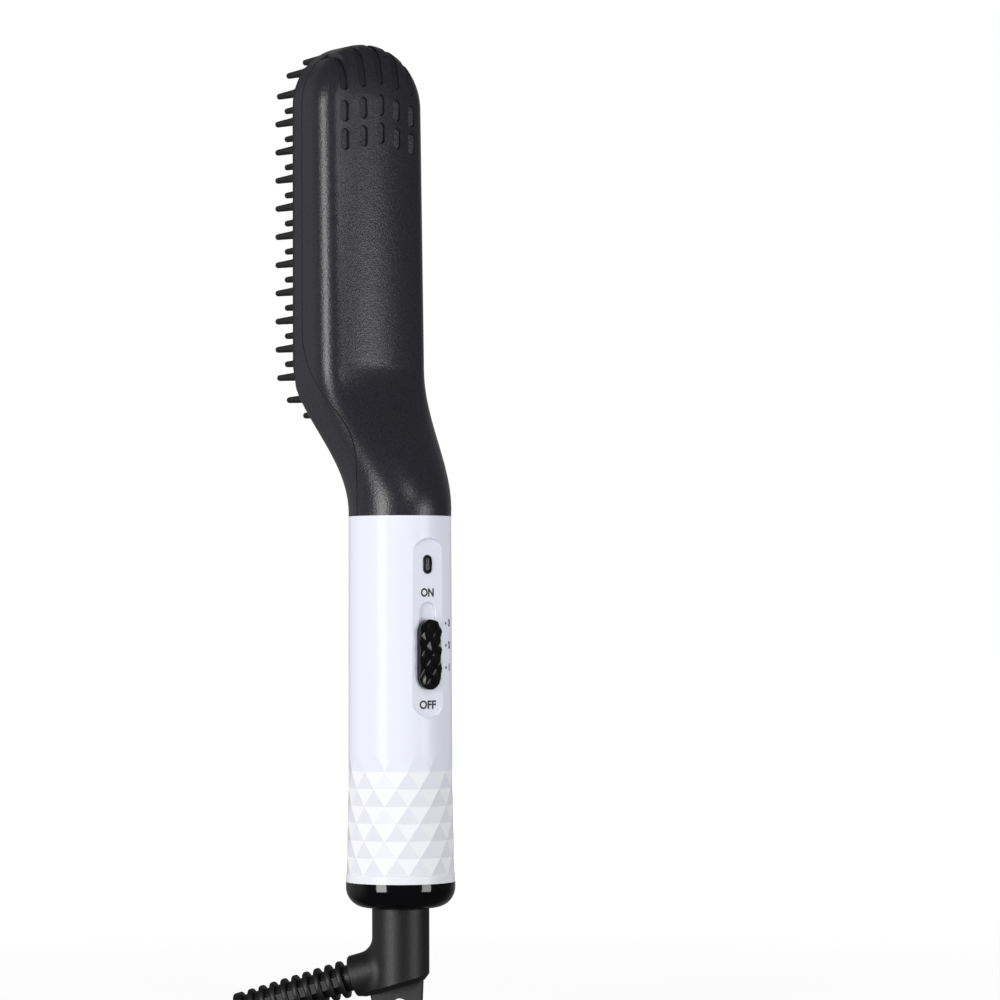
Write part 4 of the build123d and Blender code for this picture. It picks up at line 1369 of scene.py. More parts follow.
class BRUSH_OT_stage(bpy.types.Operator):
    """Set up the floor, the lights and the camera"""

    bl_idname = "brush.stage"
    bl_label = "Stage"

    def execute(self, context):
        sizes = context.scene.brush_stage
        context.scene.view_settings.view_transform = "Standard"
        across = Vector((-cos(sizes.turn), sin(sizes.turn), 0))
        away = Vector((-sin(sizes.turn), -cos(sizes.turn), 0))
        self.set_floor(context)
        self.set_room(context, away, sizes.fill)
        self.set_camera(context, across, away, sizes)
        # Each light: its turn from the camera's side, its rise over the level it looks at, how far
        # it is from the axis, that level, its width and height, and its power.
        lights = (
            (
                "softbox_left",
                (sizes.left_turn, 0.0, sizes.light_distance, sizes.left_level),
                (sizes.left_width, sizes.left_height, sizes.left_power),
            ),
            (
                "softbox_right",
                (sizes.right_turn, 0.0, sizes.light_distance, sizes.right_level),
                (sizes.right_width, sizes.right_height, sizes.right_power),
            ),
            (
                "glint",
                (sizes.glint_turn, sizes.glint_rise, sizes.glint_distance, KNOB_LOW.z - sizes.glint_drop),
                (sizes.glint_width, sizes.glint_height, sizes.glint_power),
            ),
        )
        for name, (turn, rise, distance, level), (width, height, power) in lights:
            data = bpy.data.lights.new(name, "AREA")
            data.shape = "RECTANGLE"
            data.size = width
            data.size_y = height
            data.energy = power
            light = bpy.data.objects.new(name, data)
            context.scene.collection.objects.link(light)
            light.visible_camera = False
            out = Matrix.Rotation(turn, 3, "Z") @ -away
            out = out * cos(rise) + Vector((0, 0, sin(rise)))
            light.location = out * distance + Vector((0, 0, level))
            light.rotation_euler = (-out).to_track_quat("-Z", "Y").to_euler()
        return {"FINISHED"}

    def set_floor(self, context):
        """A pale floor that renders white, but for the object's soft shadow."""
        half = 6.0
        z = cad_box[0][2]
        mesh = bpy.data.meshes.new("floor")
        corners = [(-half, -half, z), (half, -half, z), (half, half, z), (-half, half, z)]
        mesh.from_pydata(corners, [], [(0, 1, 2, 3)])
        floor = bpy.data.objects.new("floor", mesh)
        context.scene.collection.objects.link(floor)
        floor.visible_glossy = False
        floor.visible_diffuse = False
        floor.visible_shadow = False
        # Matt paper, lit white to the camera; near the object some of its own shade is left in.
        material, tree, output, place = new_material("backdrop_paper")
        path = add_node(tree, "ShaderNodeLightPath")
        matt = add_node(tree, "ShaderNodeBsdfDiffuse", inputs={"Color": (0.75, 0.75, 0.75, 1.0)})
        glow = add_node(tree, "ShaderNodeEmission", inputs={"Strength": 1.1})
        reach = add_node(tree, "ShaderNodeVectorMath", {"operation": "LENGTH"}, {0: place})
        level = add_node(
            tree,
            "ShaderNodeMapRange",
            {"interpolation_type": "SMOOTHSTEP"},
            {
                "Value": reach.outputs["Value"],
                "From Min": 0.1,
                "From Max": 0.9,
                "To Min": 0.78,
                "To Max": 1.0,
            },
        )
        share = add_node(
            tree,
            "ShaderNodeMath",
            {"operation": "MULTIPLY"},
            {0: path.outputs["Is Camera Ray"], 1: level.outputs["Result"]},
        )
        mix = add_node(
            tree,
            "ShaderNodeMixShader",
            inputs={0: share.outputs["Value"], 1: matt.outputs["BSDF"], 2: glow.outputs["Emission"]},
        )
        tree.links.new(mix.outputs["Shader"], output.inputs["Surface"])
        mesh.materials.append(material)

    def set_room(self, context, away, fill):
        """Matt surfaces see white behind the object, glossy ones a dim studio with one paler wall,
        and the camera plain white."""
        world = bpy.data.worlds.new("studio")
        world.use_nodes = True
        tree = world.node_tree
        tree.nodes.clear()
        output = add_node(tree, "ShaderNodeOutputWorld")
        path = add_node(tree, "ShaderNodeLightPath")
        direction = add_node(tree, "ShaderNodeTexCoord").outputs["Generated"]
        facing = add_node(tree, "ShaderNodeVectorMath", {"operation": "DOT_PRODUCT"}, {0: direction, 1: away})
        soft = add_node(
            tree,
            "ShaderNodeMapRange",
            {"interpolation_type": "SMOOTHSTEP"},
            {
                "Value": facing.outputs["Value"],
                "From Min": -0.3,
                "From Max": 0.85,
                "To Min": fill,
                "To Max": 1.0,
            },
        )
        sharp = add_node(
            tree,
            "ShaderNodeMapRange",
            {"interpolation_type": "SMOOTHSTEP"},
            {
                "Value": facing.outputs["Value"],
                "From Min": 0.5,
                "From Max": 1.0,
                "To Min": 0.06,
                "To Max": 0.28,
            },
        )
        beside = Matrix.Rotation(radians(-109), 3, "Z") @ -away
        aside = add_node(
            tree,
            "ShaderNodeVectorMath",
            {"operation": "DOT_PRODUCT"},
            {0: direction, 1: beside},
        )
        wall = add_node(
            tree,
            "ShaderNodeMapRange",
            {"interpolation_type": "SMOOTHSTEP"},
            {
                "Value": aside.outputs["Value"],
                "From Min": 0.75,
                "From Max": 1.0,
                "To Min": 0.0,
                "To Max": 0.3,
            },
        )
        dim = add_node(
            tree,
            "ShaderNodeMath",
            {"operation": "ADD"},
            {0: sharp.outputs["Result"], 1: wall.outputs["Result"]},
        )
        room = add_node(
            tree,
            "ShaderNodeMix",
            {"data_type": "FLOAT"},
            {0: path.outputs["Is Glossy Ray"], 2: soft.outputs["Result"], 3: dim.outputs["Value"]},
        )
        height = add_node(tree, "ShaderNodeSeparateXYZ", inputs={"Vector": direction})
        above = add_node(
            tree,
            "ShaderNodeMapRange",
            {"interpolation_type": "SMOOTHSTEP"},
            {"Value": height.outputs["Z"], "From Min": -0.5, "From Max": 0.3, "To Min": 0.6, "To Max": 1.0},
        )
        around = add_node(
            tree,
            "ShaderNodeMath",
            {"operation": "MULTIPLY"},
            {0: room.outputs[0], 1: above.outputs["Result"]},
        )
        level = add_node(
            tree,
            "ShaderNodeMix",
            {"data_type": "FLOAT"},
            {0: path.outputs["Is Camera Ray"], 2: around.outputs["Value"], 3: 1.0},
        )
        sky = add_node(
            tree,
            "ShaderNodeBackground",
            inputs={"Color": (1.0, 1.0, 1.0, 1.0), "Strength": level.outputs[0]},
        )
        tree.links.new(sky.outputs["Background"], output.inputs["Surface"])
        context.scene.world = world

    def set_camera(self, context, across, away, sizes):
        """The photograph's point of view."""
        data = bpy.data.cameras.new("camera")
        data.lens = sizes.focal
        data.sensor_width = 36
        data.clip_start = 0.01
        camera = bpy.data.objects.new("camera", data)
        context.scene.collection.objects.link(camera)
        context.scene.camera = camera
        sight = away * cos(sizes.pitch) + Vector((0, 0, sin(sizes.pitch)))
        upward = across.cross(sight)
        right = across * cos(sizes.roll) + upward * sin(sizes.roll)
        turn = Matrix((right, right.cross(sight), -sight)).transposed()
        camera.location = sizes.viewpoint
        camera.rotation_euler = turn.to_euler()


class BRUSH_OT_finishes(bpy.types.Operator):
    """Give every solid its material"""

    bl_idname = "brush.finishes"
    bl_label = "Finishes"

    def execute(self, context):
        colours = context.scene.brush_colours
        # Soft-touch ABS from a spark-eroded tool: a fine even grain breaks the highlights up.
        # Shade is painted into the parting line and into the vents' and grooves' corners.
        painted_shade = shell_painted_shade(context.scene.brush_shell)
        # The fleck paints the grain's tops lighter than its hollows.
        shell = moulded("abs_soft_touch_charcoal", colours.head, 0.3, 0.55 * MM, 0.8, fleck=0.3, painted_shade=painted_shade)
        dress("front_shell", shell)
        dress("back_shell", shell)
        # Polished white ABS: faint long reflections over a cool white, no grain.
        # Over the facets, light and shade are painted into the colour by which way each one looks.
        tones = (colours.handle, colours.facets_painted_shade, colours.facets_painted_lit)
        dress("handle_sleeve", faceted_white("abs_polished_white", *tones, FACETS_TOP))
        # Polished black ABS: mirror-like edges on near black.
        gloss_black = moulded("abs_gloss_black", "08080A", 0.08, 0.8 * MM, 0.01, 0.05)
        dress("end_cap", gloss_black)
        dress("indicator_bezel", gloss_black)
        # Satin polypropylene: soft broad highlights round the elbow.
        # Its grain's tops are painted a little lighter than its hollows.
        elbow = moulded("polypropylene_satin_black", colours.cord_end, 0.5, 0.6 * MM, 0.6, 0.1, fleck=0.2)
        dress("cord_elbow", elbow)
        # Smoked polycarbonate window over the lamp.
        dress("indicator_lens", clear_body("polycarbonate_smoked", "4A4A50", 0.15, 0.35, 1.5 * MM))
        self.dress_heater()
        self.dress_electronics()
        self.dress_contacts()
        return {"FINISHED"}

    def dress_heater(self):
        """Finishes of the heater, its holders and the screws."""
        # Fired PTC heater tile: chalky off-white with grey specks.
        dress("heater_element", speckled("ptc_ceramic", "D9D4C8", "A9A294", 0.6, 0.5 * MM, 0.4, 0.2))
        # Pressed mica sheet: golden flakes that overlap and glint.
        dress("heater_insulator", speckled("mica_sheet", "A8823C", "D9B873", 0.28, 2.2 * MM, 0.8, 0.3))
        # Rolled spring steel: grey with rolling lines along the strip.
        spring = worked_metal("spring_steel_rolled", "A6A8AB", "83868A", 0.3, 0.5 * MM, (1, 1, 0.06), 0.1)
        dress("clamp_plate", spring)
        dress("retaining_clip", spring)
        # Zinc-plated screws: pale, faintly blue, slightly milky.
        zinc = worked_metal("zinc_plated_steel", "B9BDC4", "8F949C", 0.3, 0.25 * MM, (1, 1, 1), 0.06)
        for node in ("plate_screws", "clamp_screws", "shell_screws", "board_screws"):
            dress(node, zinc)
        # Nickel-plated fuse case: smooth and bright with a warm cast.
        fuse = worked_metal("nickel_plated_brass", "C2BDB0", "9E988A", 0.2, 0.3 * MM, (1, 1, 0.1), 0.04)
        dress("thermal_fuse", fuse)
        # Glass-sealed sensor bead: amber and glassy.
        dress("temperature_sensor", clear_body("glass_bead_amber", "9A5A2C", 0.08, 0.5, 0.8 * MM))
        # Braided glass-fibre sleeve on the heater's leads.
        dress("heater_leads", woven("glass_fibre_sleeve", "D8D3C6", "8B8577", 0.35 * MM))

    def dress_electronics(self):
        """Finishes of the board, the switch and the components."""
        # Glass-filled nylon tray: flat grey with a fibrous mottle.
        dress("board_carrier", moulded("nylon_glass_filled_grey", "5C5F63", 0.55, 0.6 * MM, 0.2, 0.08))
        # Green solder mask with tracks under it.
        dress("control_board", circuit_board("fr4_green_mask", "0E4A2A", "2F7A4C", 1.6 * MM))
        # Tin-plated switch can: folded sheet with faint drawing lines.
        tinned = worked_metal("tin_plated_steel", "B4B4B2", "8C8C8A", 0.34, 0.3 * MM, (1, 0.1, 1), 0.08)
        dress("slide_switch", tinned)
        # Acetal lever: dense black with a waxy sheen.
        dress("switch_lever", moulded("acetal_black", "141414", 0.35, 0.4 * MM, 0.06, 0.04, 0.0, 0.05))
        # Red epoxy lamp: clear dyed resin.
        dress("indicator_lamp", clear_body("epoxy_red_clear", "B81E1A", 0.1, 0.55, 1.0 * MM))
        # Shrunk PVC sleeve on the capacitor: glossy dark blue.
        dress("smoothing_capacitor", moulded("pvc_sleeve_blue", "1B2F6B", 0.2, 0.7 * MM, 0.08, 0.06, 0.3))
        # Dipped epoxy coat on the film capacitor: lumpy and lustrous brick red.
        dress("film_capacitor", moulded("epoxy_dipped_red", "8C3A1E", 0.22, 1.4 * MM, 0.35, 0.08, 0.3))
        # Transfer-moulded epoxy packages: matt black with a sandy surface.
        package = moulded("epoxy_moulded_black", "17171A", 0.6, 0.25 * MM, 0.3, 0.05)
        dress("power_triac", package)
        dress("controller_chip", package)
        # Soft PVC on the supply leads: matt off-white.
        dress("supply_leads", moulded("pvc_lead_white", "CFCBC0", 0.5, 0.5 * MM, 0.1, 0.05))

    def dress_contacts(self):
        """Finishes of the rotary contacts and their housings."""
        # PBT contact housings: chalk white and cream, with a fine mould grain.
        dress("contact_socket", moulded("pbt_white", "D6D3CA", 0.5, 0.5 * MM, 0.12, 0.04))
        dress("contact_rotor", moulded("pbt_cream", "CFC4A6", 0.48, 0.5 * MM, 0.12, 0.05))
        # Stamped and turned brass: warm yellow with tarnish in patches.
        brass = worked_metal("brass_turned", "D9B45E", "A8843E", 0.24, 0.25 * MM, (1, 1, 0.15), 0.06)
        for node in ("contact_leaves", "ring_contact", "pin_contact"):
            dress(node, brass)


class BRUSH_OT_comb(bpy.types.Operator):
    """Build the comb's rim and its teeth"""

    bl_idname = "brush.comb"
    bl_label = "Comb"

    def execute(self, context):
        sizes = context.scene.brush_comb
        # Glass-filled PBT stands the heat of the plate: black, satin, with a faint fibre grain.
        material = moulded("pbt_satin_black", "141416", 0.42, 0.4 * MM, 0.15, 0.05)
        teeth = grow(
            self.tooth_tree(),
            self.tooth_roots(sizes),
            [],
            {
                "Material": material,
                "Length": sizes.tooth_length,
                "Sink": sizes.root_sink,
                "Root radius": sizes.root_radius,
                "Tip radius": sizes.tip_radius,
                "Flare": sizes.root_flare,
                "Fillet": sizes.root_fillet,
            },
        )
        add_piece("comb", (self.rim(sizes), teeth), material, "handle", ("comb_frame",))
        return {"FINISHED"}

    def tooth_roots(self, sizes):
        """An outer row round the whole rim, and an inner row half a pitch off it along each side."""
        face = COMB_LOW.y + sizes.tooth_length
        radius = COMB_RADIUS - sizes.edge_inset
        rise = radius * sin(sizes.end_angle)
        low = ARC_LOW - rise
        pitch = (ARC_HIGH + rise - low) / sizes.side_pitches
        roots = []
        for side in (-1, 1):
            for i in range(1, sizes.side_pitches):
                roots.append((side * radius, face, low + pitch * i))
            for i in range(sizes.side_pitches):
                roots.append((side * (radius - sizes.row_gap), face, low + pitch * (i + 0.5)))
        for i in range(sizes.end_teeth):
            angle = sizes.end_angle + (pi - 2 * sizes.end_angle) * i / (sizes.end_teeth - 1)
            roots.append((radius * cos(angle), face, ARC_HIGH + radius * sin(angle)))
            roots.append((radius * cos(angle), face, ARC_LOW - radius * sin(angle)))
        return roots

    def tooth_tree(self):
        """A tapered tooth with a flared root and a round tip, on each seed point, along -Y."""
        tree, given = growth_tree(
            "teeth", ("Length", "Sink", "Root radius", "Tip radius", "Flare", "Fillet")
        )
        rings = 15
        # By the point's number, which stays the same once the points are moved along the tooth
        number = add_node(tree, "GeometryNodeInputIndex").outputs["Index"]
        quarter = add_node(
            tree, "ShaderNodeMath", {"operation": "MULTIPLY"}, {0: number, 1: pi / 2 / (rings - 1)}
        )
        along, whole, spine = eased_spine(tree, given, given["Length"], rings, quarter.outputs["Value"])
        taper = add_node(
            tree,
            "ShaderNodeMapRange",
            inputs={
                "Value": along,
                "From Min": given["Sink"],
                "From Max": whole,
                "To Min": given["Root radius"],
                "To Max": given["Tip radius"],
            },
        )
        dome = tip_dome(tree, along, whole, given["Tip radius"])
        skirt_end = add_node(
            tree,
            "ShaderNodeMath",
            {"operation": "ADD"},
            {0: given["Sink"], 1: given["Fillet"]},
        )
        skirt = add_node(
            tree,
            "ShaderNodeMapRange",
            {"interpolation_type": "SMOOTHSTEP"},
            {
                "Value": along,
                "From Min": given["Sink"],
                "From Max": skirt_end.outputs["Value"],
                "To Min": given["Flare"],
                "To Max": 0.0,
            },
        )
        radius = add_node(
            tree,
            "ShaderNodeMath",
            {"operation": "MULTIPLY_ADD"},
            {0: taper.outputs["Result"], 1: dome, 2: skirt.outputs["Result"]},
        )
        circle = add_node(tree, "GeometryNodeCurvePrimitiveCircle", inputs={"Resolution": 16, "Radius": 1.0})
        body = add_node(
            tree,
            "GeometryNodeCurveToMesh",
            inputs={
                "Curve": spine,
                "Profile Curve": circle.outputs["Curve"],
                "Scale": radius.outputs["Value"],
                "Fill Caps": True,
            },
        )
        # The tip's last ring has no width, so its points are made one.
        welded = add_node(
            tree,
            "GeometryNodeMergeByDistance",
            inputs={"Geometry": body.outputs["Mesh"], "Distance": 0.004 * MM},
        )
        close_tree(tree, given, given["Geometry"], welded.outputs["Geometry"])
        return tree

    def rim(self, sizes):
        """The comb's oval ring: a closed section with its outer front edge rounded."""
        face = COMB_LOW.y + sizes.tooth_length
        window = COMB_RADIUS - sizes.window_inset
        soft = SOFT_EDGE
        section = [(COMB_RADIUS, COMB_HIGH.y)]
        section += rounded_edge(
            (COMB_RADIUS - sizes.rim_rounding, face + sizes.rim_rounding), sizes.rim_rounding, 0, -pi / 2
        )
        section += rounded_edge((window + soft, face + soft), soft, -pi / 2, -pi, 3)
        section.append((window, COMB_HIGH.y))
        bm = bmesh.new()
        skin(bm, [obround_loop(radius, y) for radius, y in section], closed=True)
        return to_mesh(bm, "rim")


class BRUSH_OT_plate(bpy.types.Operator):
    """Build the heated plate and its fins"""

    bl_idname = "brush.plate"
    bl_label = "Heated plate"

    def execute(self, context):
        sizes = context.scene.brush_plate
        face = self.face_y(context)
        # Cast aluminium under a fired ceramic coat: warm dark grey with fine paler specks.
        material = speckled("ceramic_coated_aluminium", "2A2827", "5C5650", 0.34, 0.35 * MM, 0.35, 0.12)
        fins = grow(
            self.fin_tree(),
            self.fin_roots(sizes, face),
            [],
            {
                "Material": material,
                "Height": face - PLATE_LOW.y,
                "Sink": sizes.fin_sink,
                "Width": sizes.fin_width,
                "Thickness": sizes.fin_thickness,
                "Tip width share": sizes.fin_tip_width / sizes.fin_width,
                "Tip thickness share": sizes.fin_tip_thickness / sizes.fin_thickness,
                "Rounding": sizes.fin_rounding,
            },
        )
        add_piece(
            "heated_plate",
            (self.plate(context), fins),
            material,
            "handle",
            ("heating_plate",),
        )
        return {"FINISHED"}

    def face_y(self, context):
        """Where the plate's face lies, a little behind the comb's."""
        return COMB_LOW.y + context.scene.brush_comb.tooth_length + context.scene.brush_plate.face_sink

    def fin_roots(self, sizes, face):
        """Three columns of fins, in rows from one end's centre to the other's."""
        pitch = sizes.fin_width + sizes.fin_gap
        step = (ARC_HIGH - ARC_LOW) / (sizes.fin_rows - 1)
        return [
            (column * pitch, face, ARC_LOW + step * row)
            for row in range(sizes.fin_rows)
            for column in (-1, 0, 1)
        ]

    def fin_tree(self):
        """A fin that thins towards its tip and rounds off there, on each seed point, along -Y."""
        tree, given = growth_tree(
            "fins",
            ("Height", "Sink", "Width", "Thickness", "Tip width share", "Tip thickness share", "Rounding"),
        )
        share = add_node(tree, "GeometryNodeSplineParameter")
        quarter = add_node(
            tree, "ShaderNodeMath", {"operation": "MULTIPLY"}, {0: share.outputs["Factor"], 1: pi / 2}
        )
        along, whole, spine = eased_spine(tree, given, given["Height"], 13, quarter.outputs["Value"])
        dome = tip_dome(tree, along, whole, given["Rounding"])
        # The tip's flat end keeps this share of the fin's section.
        size = add_node(tree, "ShaderNodeMapRange", inputs={"Value": dome, "To Min": 0.72, "To Max": 1.0})
        outline = add_node(
            tree,
            "GeometryNodeCurvePrimitiveQuadrilateral",
            inputs={"Width": given["Width"], "Height": given["Thickness"]},
        )
        softened = add_node(
            tree,
            "GeometryNodeFilletCurve",
            {"mode": "POLY"},
            {
                "Curve": outline.outputs["Curve"],
                "Count": 3,
                "Radius": given["Rounding"],
                "Limit Radius": True,
            },
        )
        body = add_node(
            tree,
            "GeometryNodeCurveToMesh",
            inputs={
                "Curve": spine,
                "Profile Curve": softened.outputs["Curve"],
                "Scale": size.outputs["Result"],
                "Fill Caps": True,
            },
        )
        place = add_node(tree, "GeometryNodeInputPosition").outputs["Position"]
        apart = add_node(tree, "ShaderNodeSeparateXYZ", inputs={"Vector": place})
        out = add_node(tree, "ShaderNodeMath", {"operation": "MULTIPLY"}, {0: apart.outputs["Y"], 1: -1.0})
        factors = [
            add_node(
                tree,
                "ShaderNodeMapRange",
                inputs={
                    "Value": out.outputs["Value"],
                    "From Min": 0.0,
                    "From Max": given["Height"],
                    "To Min": 1.0,
                    "To Max": given[label],
                },
            ).outputs["Result"]
            for label in ("Tip width share", "Tip thickness share")
        ]
        shrink = add_node(tree, "ShaderNodeCombineXYZ", inputs={"X": factors[0], "Y": 1.0, "Z": factors[1]})
        drawn = add_node(
            tree, "ShaderNodeVectorMath", {"operation": "MULTIPLY"}, {0: place, 1: shrink.outputs["Vector"]}
        )
        tapered = add_node(
            tree,
            "GeometryNodeSetPosition",
            inputs={"Geometry": body.outputs["Mesh"], "Position": drawn.outputs["Vector"]},
        )
        close_tree(tree, given, given["Geometry"], tapered.outputs["Geometry"])
        return tree

    def plate(self, context):
        """The flange, the face in the comb's window, and the two posts behind."""
        sizes = context.scene.brush_plate
        comb = context.scene.brush_comb
        face = self.face_y(context)
        radius = (PLATE_HIGH.x - PLATE_LOW.x) / 2
        window = COMB_RADIUS - comb.window_inset - sizes.window_gap
        front = COMB_HIGH.y
        back = front + sizes.flange
        soft = SOFT_EDGE
        section = [(radius, back), (radius, front), (window, front)]
        section += rounded_edge((window - soft, face + soft), soft, 0, -pi / 2, 3)
        bm = bmesh.new()
        skin(bm, [obround_loop(*level) for level in section], closed=False)
        middle = (ARC_LOW + ARC_HIGH) / 2
        for side in (-1, 1):
            place = Matrix.Translation((0, back, middle + side * sizes.post_reach))
            place @= Matrix.Rotation(-pi / 2, 4, "X")
            reach = PLATE_HIGH.y - back
            # The post starts inside the flange, and its screw hole stops just short of it.
            post = [
                (sizes.post_radius, -0.3 * MM),
                (sizes.post_radius, reach),
                (sizes.screw_radius, reach),
                (sizes.screw_radius, 0.2 * MM),
            ]
            skin(bm, [ring_loop(place, *level) for level in post], closed=False)
        return to_mesh(bm, "plate")


class BRUSH_OT_knob(bpy.types.Operator):
    """Build the slide knob with its diamond grip"""

    bl_idname = "brush.knob"
    bl_label = "Slide knob"

    def execute(self, context):
        sizes = context.scene.brush_knob
        # Black ABS with a light satin: the grip's facets catch single glints.
        material = moulded("abs_satin_black", "0C0C0E", 0.2, 0.5 * MM, 0.03, 0.05)
        parts = (self.cap(sizes), self.foot(sizes))
        add_piece("slide_knob", parts, material, "level_slider", ("level_knob",))
        return {"FINISHED"}

    def rise(self, sizes, x, z):
        """How far the grip stands out at a point of the face: a four-sided point in each diamond."""
        middle = (KNOB_LOW.z + KNOB_HIGH.z) / 2 + sizes.shift
        a = 2 * x / sizes.pitch_across
        b = 2 * (z - middle) / sizes.pitch_along
        shares = [abs(v - round(v)) for v in ((a + b) / 2, (a - b) / 2)]
        return sizes.grip_height * (1 - 2 * max(shares))

    def cap(self, sizes):
        """The round-ended plate, cut along the grip's lines and raised to its points."""
        face = KNOB_HIGH.y - sizes.grip_height
        back = face - sizes.plate
        radius = sizes.half_width - 0.1 * MM
        ends = (KNOB_HIGH.z - sizes.half_width, KNOB_LOW.z + sizes.half_width)
        middle = (ends[0] + ends[1]) / 2 + sizes.shift
        bm = bmesh.new()
        bm.faces.new([bm.verts.new(point) for point in obround_loop(radius, face, ends, 20)])
        half = Vector((sizes.pitch_across / 2, 0, sizes.pitch_along / 2))
        cuts = []
        for i in range(-9, 10):
            for side in (-1, 1):
                cuts.append((Vector((half.x * i, face, middle)), Vector((half.z, 0, side * half.x))))
            cuts.append((Vector((half.x * i, face, middle)), Vector((1, 0, 0))))
            cuts.append((Vector((0, face, middle + half.z * i)), Vector((0, 0, 1))))
        for spot, normal in cuts:
            bmesh.ops.bisect_plane(
                bm,
                geom=bm.verts[:] + bm.edges[:] + bm.faces[:],
                plane_co=spot,
                plane_no=normal,
                dist=0.002 * MM,
            )
        rim = [edge for edge in bm.edges if edge.is_boundary]
        wall = bmesh.ops.extrude_edge_only(bm, edges=rim)["geom"]
        low = [item for item in wall if isinstance(item, bmesh.types.BMVert)]
        for vert in low:
            vert.co.x *= sizes.half_width / radius
            vert.co.y = back
        raised = set(bm.verts) - set(low)
        for vert in raised:
            vert.co.y = face + self.rise(sizes, vert.co.x, vert.co.z)
        bmesh.ops.contextual_create(bm, geom=[edge for edge in bm.edges if edge.is_boundary])
        bmesh.ops.recalc_face_normals(bm, faces=bm.faces[:])
        return to_mesh(bm, "cap")

    def foot(self, sizes):
        """The guide rib in the track, and the forked stem on the switch's lever."""
        back = KNOB_HIGH.y - sizes.grip_height - sizes.plate
        middle = (KNOB_LOW.z + KNOB_HIGH.z) / 2
        bm = bmesh.new()
        half = sizes.rib_width / 2
        reach = (KNOB_HIGH.z - KNOB_LOW.z) / 2 - sizes.rib_inset - half
        ends = (middle + reach, middle - reach)
        # The rib starts a little inside the plate, so no gap shows between them.
        levels = (back + 0.2 * MM, back - sizes.rib_height)
        skin(bm, [obround_loop(half, y, ends, 12) for y in levels], closed=False)
        x, z = sizes.stem_width / 2, sizes.stem_length / 2
        gap, fork = sizes.fork_width / 2, sizes.fork_depth
        outline = [(back, -z), (back, z), (KNOB_LOW.y, z), (KNOB_LOW.y, gap), (KNOB_LOW.y + fork, gap)]
        outline += [(KNOB_LOW.y + fork, -gap), (KNOB_LOW.y, -gap), (KNOB_LOW.y, -z)]
        sides = [[Vector((side * x, y, middle + along)) for y, along in outline] for side in (-1, 1)]
        skin(bm, sides, closed=False)
        return to_mesh(bm, "foot")


